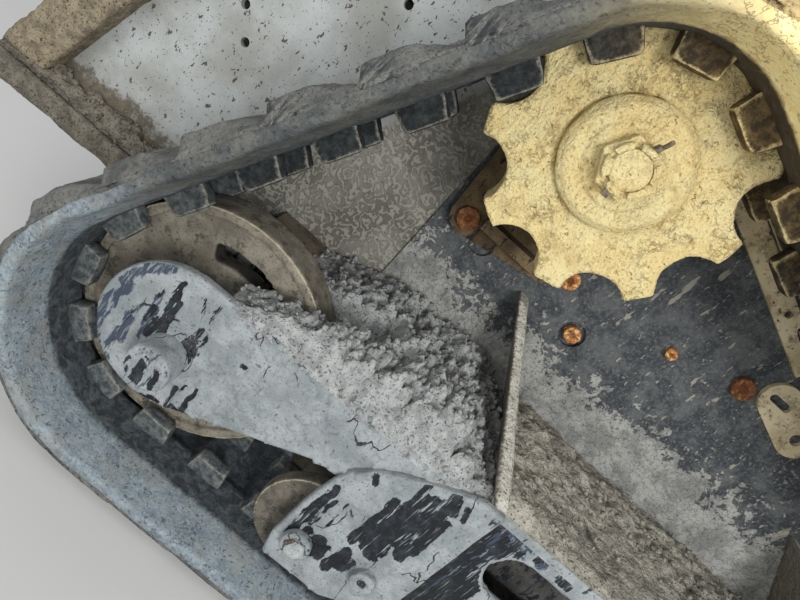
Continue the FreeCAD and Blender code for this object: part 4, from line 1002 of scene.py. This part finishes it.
def wheel_coat(centre, radius):
    """Idler or roller round an axis: the rim's edge is worn clean, and the idler's recessed web is marked for
    painted shade.
    """
    def shape(points, normals):
        away = np.hypot(points[:, 0] - centre.x, points[:, 2] - centre.z)
        rim = smooth_step(away, radius - 4.5 * MM, radius - 1.5 * MM)
        edge = rim * (1 - smooth_step(away, radius - 1 * MM, radius))
        rough = (noise(points, 0.02, 41, 3) * 0.9 + clods(points, 0.010, 42) * 0.7) * MM * (1 - rim)
        # The idler's recessed web is marked as hollow, to be painted near-black as shade.
        inner = smooth_step(np.abs(points[:, 1] - centre.y) / MM, 12.5, 10.0) * (away < radius - 20 * MM)
        return rough - (0.1 + 0.4 * rim) * MM, {"edge": edge, "hollow": inner * (radius > 100 * MM)}
    return shape


def gusset_coat(points, normals):
    x, y, z = own(points)
    # Faces that look rearward are marked as hollow, to be painted dark as shade.
    behind = smooth_step(-normals[:, 0], 0.25, 0.6)
    foot = smooth_step(z, 330, 270)
    rough = noise(points, 0.018, 51, 4, 0.65) * 0.8 * MM + clods(points, 0.010, 52) * (0.3 + 1.6 * foot) * MM
    swell = rough + (0.2 + 1.0 * foot) * MM * (0.4 + 0.6 * outboard(normals))
    return swell, {"hollow": 0.9 * behind}


def crusty(node, hollow_radius):
    """Rusty bolt head with a crust and a hollow in its middle."""
    centre = middle(node)

    def shape(points, normals):
        away = np.hypot(points[:, 0] - centre.x, points[:, 2] - centre.z) / MM
        hollow = smooth_step(away, hollow_radius, hollow_radius * 0.5) * outboard(normals)
        rough = (noise(points, 0.005, 91, 3) * 0.7 + clods(points, 0.004, 92) * 0.8) * MM
        return rough - 2.5 * MM * hollow, {"hollow": hollow, "bare": hollow}
    return shape


# Loose mud

def heap(name, low, high, step, ground, look, body, size=0.02):
    """Crumbly mud over a patch of the unit. ground(x, y) gives the floor and depth in millimetres."""
    xs = np.arange(low[0], high[0], step)
    ys = np.arange(low[1], high[1], step)
    grid_x, grid_y = np.meshgrid(xs, ys, indexing="ij")
    x, y = grid_x.ravel(), grid_y.ravel()
    floor, depth = ground(x, y)
    flat = np.stack([x * MM + IDLER.x, y * MM + IDLER.y, floor * MM + LEVEL], axis=1)
    rough = 0.40 * clods(flat, size, 61) + 0.36 * clods(flat, size * 0.5, 62) \
        + 0.20 * clods(flat, size * 0.27, 68) + 0.25 * noise(flat, size * 2.2, 63, 3)
    height = depth * (0.45 + 0.9 * rough)
    points = flat.copy()
    points[:, 2] += height * MM
    shaken = np.stack([noise(points, 0.006, 64 + k, 3) for k in range(3)], axis=1)
    points += shaken * 1.6 * MM * np.clip(depth / 12, 0.2, 1)[:, None]
    keep = height > 0.6
    wide = len(ys)
    faces = []
    for i in range(len(xs) - 1):
        for j in range(wide - 1):
            ring = (i * wide + j, (i + 1) * wide + j, (i + 1) * wide + j + 1, i * wide + j + 1)
            if keep[list(ring)].sum() >= 2:
                faces.append(ring)
    used = np.unique(np.array(faces))
    renumber = {int(old): new for new, old in enumerate(used)}
    faces = [tuple(renumber[i] for i in ring) for ring in faces]
    # Low places between the clods are marked as hollow, to be painted dark as shade.
    hollow = smooth_step(rough, 0.34, 0.12)
    return piece(name, points[used], faces, look, body, {"hollow": hollow[used]})


def arm_ground(x, y):
    """Mud on the rear arm's flange and web, and on the shelf beside them."""
    top = 247 + np.interp(x, [10, 19, 40, 85, 121, 154, 186, 224, 264, 300],
                          [0, 3, 16, 28, 42, 46, 50, 50, 34, 20])
    over_idler = smooth_step(x, 142, 130) * smooth_step(np.abs(y), 27, 23)
    floor = np.where(y > 80, 259.5, 247.0)
    depth = np.maximum(top - floor, 0) * smooth_step(y, -77, -64) * (1 - over_idler)
    depth *= np.where((y > 60) & (x < 60), 0.4, 1.0)
    return floor, depth


def top_ground(x, y):
    """Mud on the frame's top plate."""
    bank = 7 + 9 * smooth_step(y, -20, 60) - 7 * smooth_step(y, 85, 116) + 7 * smooth_step(x, 420, 300)
    return np.full(len(x), 265.5), bank * smooth_step(y, -73, -60)


def ledge_ground(x, y):
    return np.full(len(x), 197.5), 4 + 12 * smooth_step(y, 92, 122)


def crumbs(name, places, low, high, look, body, seed):
    """Loose bits of soil at given places."""
    dice = np.random.default_rng(seed)
    template = block_template((2, 2, 2), (1.0, 0.8, 0.7), 0.6)
    matrices = []
    for place in places:
        turn = Matrix.Rotation(dice.uniform(0, 6.28), 4, Vector(dice.normal(size=3)))
        scale = low + (high - low) * dice.random() ** 2
        matrices.append(Matrix.Translation(Vector(place)) @ turn @ Matrix.Scale(scale, 4))
    points, faces, edge = many(template, matrices)
    points += noise(points, 0.004, seed)[:, None] * 0.3 * high
    # Each crumb's edges are marked a little as hollow, to be painted darker as shade.
    return piece(name, points, faces, look, body, {"hollow": edge * 0.15})


# The pieces

LOOKS = {
    "gusset": crumbly("gusset_mud", tone(196, 193, 181), tone(172, 168, 157), tone(116, 110, 96),
                      tone(78, 66, 50)),
    "rubber": rubber_look("dusty_rubber"),
    "packed": packed_look("packed_mud"),
    "lug": lug_look("worn_lug"),
    "arm": streaked_mud("arm_mud"),
    "mud": plain_mud("dried_mud", off=0.25),
    "inside": plain_mud("inner_mud", tone(78, 77, 73), tone(56, 55, 52), tone(34, 33, 31), off=0.5),
    "brown": plain_mud("brown_mud", tone(122, 112, 94), MUD_BROWN, MUD_BROWN_DEEP, MUD_BROWN_DEEP, 0.3),
    # Brown mud darkened as painted shade, on the motor mount plate.
    "shaded_brown": plain_mud("shaded_brown_mud", tone(110, 94, 68), tone(78, 64, 46), tone(48, 38, 27),
                            tone(38, 31, 24), 0.3),
    "wall": wall_look("side_plate_mud"),
    "white": white_look("dusty_white"),
    "rail": cream_look("cream_paint"),
    "tan": cracked_mud("cracked_mud"),
    "hub": cracked_mud("hub_mud", 0.15),
    "crumbs": crumbly("crumbly_mud", tone(170, 172, 170), tone(138, 140, 138), tone(80, 80, 77), MUD_BLACK),
    "brown_crumbs": crumbly("brown_crumbs", tone(174, 169, 156), tone(144, 139, 127), tone(92, 86, 76),
                            tone(46, 42, 36)),
    "ledge_crumbs": crumbly("ledge_crumbs", tone(132, 126, 113), tone(104, 98, 87), tone(66, 60, 52),
                            tone(36, 32, 28)),
    "wheel": wheel_look("muddy_wheel", tone(138, 132, 118), tone(108, 103, 91), tone(62, 57, 49)),
    "roller": wheel_look("muddy_roller", tone(108, 103, 93), tone(82, 78, 70), tone(46, 42, 36)),
    "post": crumbly("post_mud", tone(152, 140, 117), tone(118, 108, 90), tone(70, 62, 50), tone(36, 31, 25)),
    "ledge": crumbly("ledge_mud", tone(122, 116, 103), tone(94, 89, 79), tone(56, 52, 45), tone(30, 28, 24)),
    "rust": rust_look("rust", tone(186, 122, 70), tone(228, 188, 130)),
    # Darker rust, on chassis_bolt_2 and mount_bolt; on mount_bolt, beside the sprocket, the darkness stands for the
    # sprocket's shadow: painted shade.
    "dark_rust": rust_look("dark_rust", tone(112, 72, 44), tone(146, 104, 66)),
    "steel": plain_mud("muddy_steel", tone(166, 172, 172), tone(138, 143, 143), tone(86, 88, 86),
                       tone(96, 84, 70), 0.5),
    # Near-black, for the trim nuts: painted shade in the panel's holes.
    "black": plain_mud("painted_hole_shade", tone(40, 39, 37), tone(30, 29, 28), tone(16, 16, 15), off=0.5),
}

KEPT = {
    "white": ("rear_side_panel",),
    "rail": ("upper_side_rail", "tie_down_plate"),
    "wall": ("chassis_side_plate",),
    "brown": ("chassis_shelf",),
    "shaded_brown": ("motor_mount_plate",),
    "inside": ("tension_anchor", "tension_cylinder", "cross_tube_1", "cross_tube_2", "frame_side_inner",
               "roller_axle_2", "roller_axle_3", "roller_axle_4", "drive_motor"),
}


def dress_cad():
    """Materials of the CAD nodes that stay."""
    chosen = {node: look for look, names in KEPT.items() for node in names}
    for name, obj in nodes.items():
        obj.data.materials.clear()
        obj.data.materials.append(LOOKS[chosen.get(name, "mud")])


def make_coats():
    """Pieces that stand for CAD nodes under their coats of mud."""
    root, steel, paint = "undercarriage", "sprocket_steel", "black_paint"
    far_from = -1000.0
    side = bare_side(FRAME_BARE, FRAME_FILM, 372, -0.24)
    bracket = bare_side(BRACKET_BARE, (), 400, -0.3)
    inner = bare_side((), (), far_from, -0.3)
    for name, cad, voxel, look, body, slot, shape in (
            ("sprocket_coat", ["drive_sprocket"], 2.2, "tan", root, steel, sprocket_coat),
            ("hub_coat", ["sprocket_hub"], 1.8, "hub", root, steel, plain_coat(1.1)),
            ("nut_coat", ["hub_nut"], 1.1, "hub", root, "fastener_steel", plain_coat(0.6)),
            ("corner_post_coat", ["rear_corner_post"], 4.0, "post", root, paint, caked),
            ("ledge_coat", ["rear_ledge"], 3.0, "ledge", root, paint, caked),
            ("arm_coat", ["rear_arm_outer"], 1.7, "arm", root, paint, arm_coat),
            ("axle_coat", ["rear_idler_axle"], 1.8, "arm", root, paint, boss_coat),
            ("inner_arm_coat", ["rear_arm_inner", "rear_arm_web"], 4.0, "arm", root, paint, inner),
            ("frame_coat", ["frame_side_outer"], 2.9, "arm", root, paint, side),
            ("bracket_coat", ["roller_bracket_outer"], 1.6, "arm", root, paint, bracket),
            ("roller_bolt_coat", ["roller_axle_1"], 1.7, "arm", root, "fastener_steel", plain_coat(0.8)),
            ("bracket_bolt_coat", ["bracket_bolt_outer"], 0.9, "arm", root, "fastener_steel",
             crusty("bracket_bolt_outer", 6.0)),
            ("gusset_coat", ["gusset_1"], 1.8, "gusset", root, paint, gusset_coat),
            ("front_gusset_coat", ["gusset_2"], 3.0, "gusset", root, paint, gusset_coat)):
        coated(name, cad, voxel, LOOKS[look], body, shape)
    for node, hollow in (("chassis_bolt_1", 5.0), ("chassis_bolt_2", 6.0), ("recess_bolt", 4.5),
                         ("mount_bolt", 5.0), ("chassis_plug", 3.0), ("bracket_bolt_inner", 6.0)):
        look = "dark_rust" if node in ("chassis_bolt_2", "mount_bolt") else "rust"
        coated(node + "_crust", [node], 0.9, LOOKS[look], root, crusty(node, hollow))
    for name, voxel in (("rear_idler", 2.6), ("front_idler", 3.6)):
        coated(name + "_coat", [name + "_wheel"], voxel, LOOKS["wheel"], name,
               wheel_coat(middle(name + "_wheel"), 124 * MM))
    for number in range(1, 5):
        node = "track_roller_%d" % number
        coated("roller_coat_%d" % number, [node], 2.6 if number == 1 else 3.6, LOOKS["roller"], root,
               wheel_coat(middle(node), 55 * MM))


def turned(name, profile, centre, look, body, segments=20):
    """Solid turned about an axis along y, from (radius, y) pairs in millimetres that start and end on it."""
    points, faces = [], []
    for radius, y in profile:
        for i in range(segments):
            angle = 2 * math.pi * i / segments
            points.append((centre.x + radius * MM * math.cos(angle), centre.y + y * MM,
                           centre.z + radius * MM * math.sin(angle)))
    for ring in range(len(profile) - 1):
        for i in range(segments):
            j = (i + 1) % segments
            faces.append((ring * segments + i, ring * segments + j, (ring + 1) * segments + j,
                          (ring + 1) * segments + i))
    return piece(name, np.array(points), faces, look, body)


def make_small_parts():
    """Hexagon of the roller's bolt, near-black trim nuts that fill the panel's holes with painted shade, and the hub
    nut's split pin.
    """
    root = "undercarriage"
    head = middle("roller_axle_1")
    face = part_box("roller_axle_1")[0][1]
    centre = Vector((head.x, face, head.z))
    hexagon = [(0.01, -5.0), (5.0, -5.0), (9.5, -4.6), (11.5, -3.2), (11.8, 1.5), (0.01, 1.5)]
    turned("roller_bolt_hexagon", hexagon, centre, LOOKS["steel"], root, 6)
    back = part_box("rear_side_panel")[1][1]
    for number, (x, z) in enumerate(((-166, 371), (-186, 401), (-55, 507)), 1):
        hole = at(x, 0, z)
        nut = [(0.01, 2.0), (5.5, 2.0), (5.8, -1.0), (9.0, -0.5), (9.5, 5.0), (7.0, 7.0), (0.01, 7.0)]
        turned("trim_nut_%d" % number, nut, Vector((hole.x, back, hole.z)), LOOKS["black"], root)
    data = bpy.data.curves.new("split_pin", "CURVE")
    data.dimensions = "3D"
    data.bevel_depth = 1.8 * MM
    data.bevel_resolution = 2
    data.use_fill_caps = True
    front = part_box("hub_nut")[0][1]
    for side in (-1, 1):
        route = [(-25, 2.0), (-18, 2.0), (0, 3.0), (16, 3.0), (23, 1.0), (27 if side > 0 else 24, -5.0),
                 (31 if side > 0 else 22, -10.0)]
        spline = data.splines.new("NURBS")
        spline.points.add(len(route) - 1)
        for point, (up, out) in zip(spline.points, route):
            point.co = (SPROCKET.x + (side * 1.3 + 0.08 * up) * MM, front + out * MM, SPROCKET.z + up * MM, 1.0)
        spline.order_u = 3
        spline.use_endpoint_u = True
    pin = bpy.data.objects.new("split_pin", data)
    data.materials.append(LOOKS["post"])
    bpy.context.scene.collection.objects.link(pin)
    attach(pin, root)


def make_heaps():
    """Loose mud on the arm, the frame's top and the rear ledge."""
    root = "undercarriage"
    arm = heap("arm_heap", (12, -78), (302, 122), 1.7, arm_ground, LOOKS["crumbs"], root, 0.019)
    top = heap("frame_heap", (296, -73), (928, 122), 3.2, top_ground, LOOKS["brown_crumbs"], root, 0.026)
    ledge = heap("ledge_heap", (-372, 91), (-180, 126), 2.2, ledge_ground, LOOKS["ledge_crumbs"], root,
                 0.018)
    dice = np.random.default_rng(5)
    for obj, share, look in ((arm, 700, "crumbs"), (top, 400, "brown_crumbs"), (ledge, 90, "ledge_crumbs")):
        count = len(obj.data.vertices)
        places = [obj.data.vertices[int(index)].co + Vector((0, 0, 1 * MM))
                  for index in dice.integers(0, count, share)]
        crumbs(obj.name + "_crumbs", places, 1.0 * MM, 3.8 * MM, LOOKS[look], root, 71)


dress_cad()
make_track_body()
make_packed_mud()
make_lugs()
make_coats()
make_small_parts()
make_heaps()


# Floor, light and camera

def make_floor():
    size = 6.0
    mesh = bpy.data.meshes.new("floor")
    mesh.from_pydata([(-size, -size, 0), (size, -size, 0), (size, size, 0), (-size, size, 0)], [],
                     [(0, 1, 2, 3)])
    look = Look("pale_floor")
    mesh.materials.append(look.done(look.mix(look.noise(0.5), tone(206, 205, 202), tone(214, 213, 210)), 0.9))
    floor = bpy.data.objects.new("floor", mesh)
    bpy.context.scene.collection.objects.link(floor)


def lamp(name, place, target, size, watts):
    data = bpy.data.lights.new(name, "AREA")
    data.shape = "DISK"
    data.size = size
    data.energy = watts
    obj = bpy.data.objects.new(name, data)
    obj.location = place
    obj.rotation_euler = (Vector(target) - Vector(place)).to_track_quat("-Z", "Y").to_euler()
    bpy.context.scene.collection.objects.link(obj)


def make_light():
    world = bpy.data.worlds.new("studio")
    world.use_nodes = True
    world.node_tree.nodes["Background"].inputs["Color"].default_value = (0.94, 0.97, 1.0, 1.0)
    world.node_tree.nodes["Background"].inputs["Strength"].default_value = 0.62
    bpy.context.scene.world = world
    target = at(150, 0, 300)
    lamp("key", (0.8, -2.8, 1.4), target, 1.0, 66.0)
    lamp("fill", (-1.8, -2.2, 1.2), target, 1.6, 22.0)


CAMERA_PLACE = at(78.4, -516.1, 538.9)
CAMERA_YAW = math.radians(-5.06)
CAMERA_PITCH = math.radians(22.72)
CAMERA_ROLL = math.radians(43.31)
SENSOR = 36.0
CAMERA_LENS = 613.3 / 800 * SENSOR


def make_camera():
    """Camera where the photograph was taken: yaw, then down by the pitch, then rolled."""
    data = bpy.data.cameras.new("camera")
    data.sensor_width = SENSOR
    data.lens = CAMERA_LENS
    data.clip_start = 0.01
    obj = bpy.data.objects.new("camera", data)
    turn = Matrix.Rotation(CAMERA_YAW, 3, "Z")
    ahead, right, up = turn @ Vector((0, 1, 0)), turn @ Vector((1, 0, 0)), Vector((0, 0, 1))
    ahead, up = (ahead * math.cos(CAMERA_PITCH) - up * math.sin(CAMERA_PITCH),
                 up * math.cos(CAMERA_PITCH) + ahead * math.sin(CAMERA_PITCH))
    right, up = (right * math.cos(CAMERA_ROLL) + up * math.sin(CAMERA_ROLL),
                 up * math.cos(CAMERA_ROLL) - right * math.sin(CAMERA_ROLL))
    obj.matrix_world = Matrix(((right.x, up.x, -ahead.x, CAMERA_PLACE.x),
                               (right.y, up.y, -ahead.y, CAMERA_PLACE.y),
                               (right.z, up.z, -ahead.z, CAMERA_PLACE.z), (0, 0, 0, 1)))
    bpy.context.scene.collection.objects.link(obj)
    bpy.context.scene.camera = obj


make_floor()
make_light()
make_camera()
bpy.context.scene.view_settings.view_transform = "Standard"
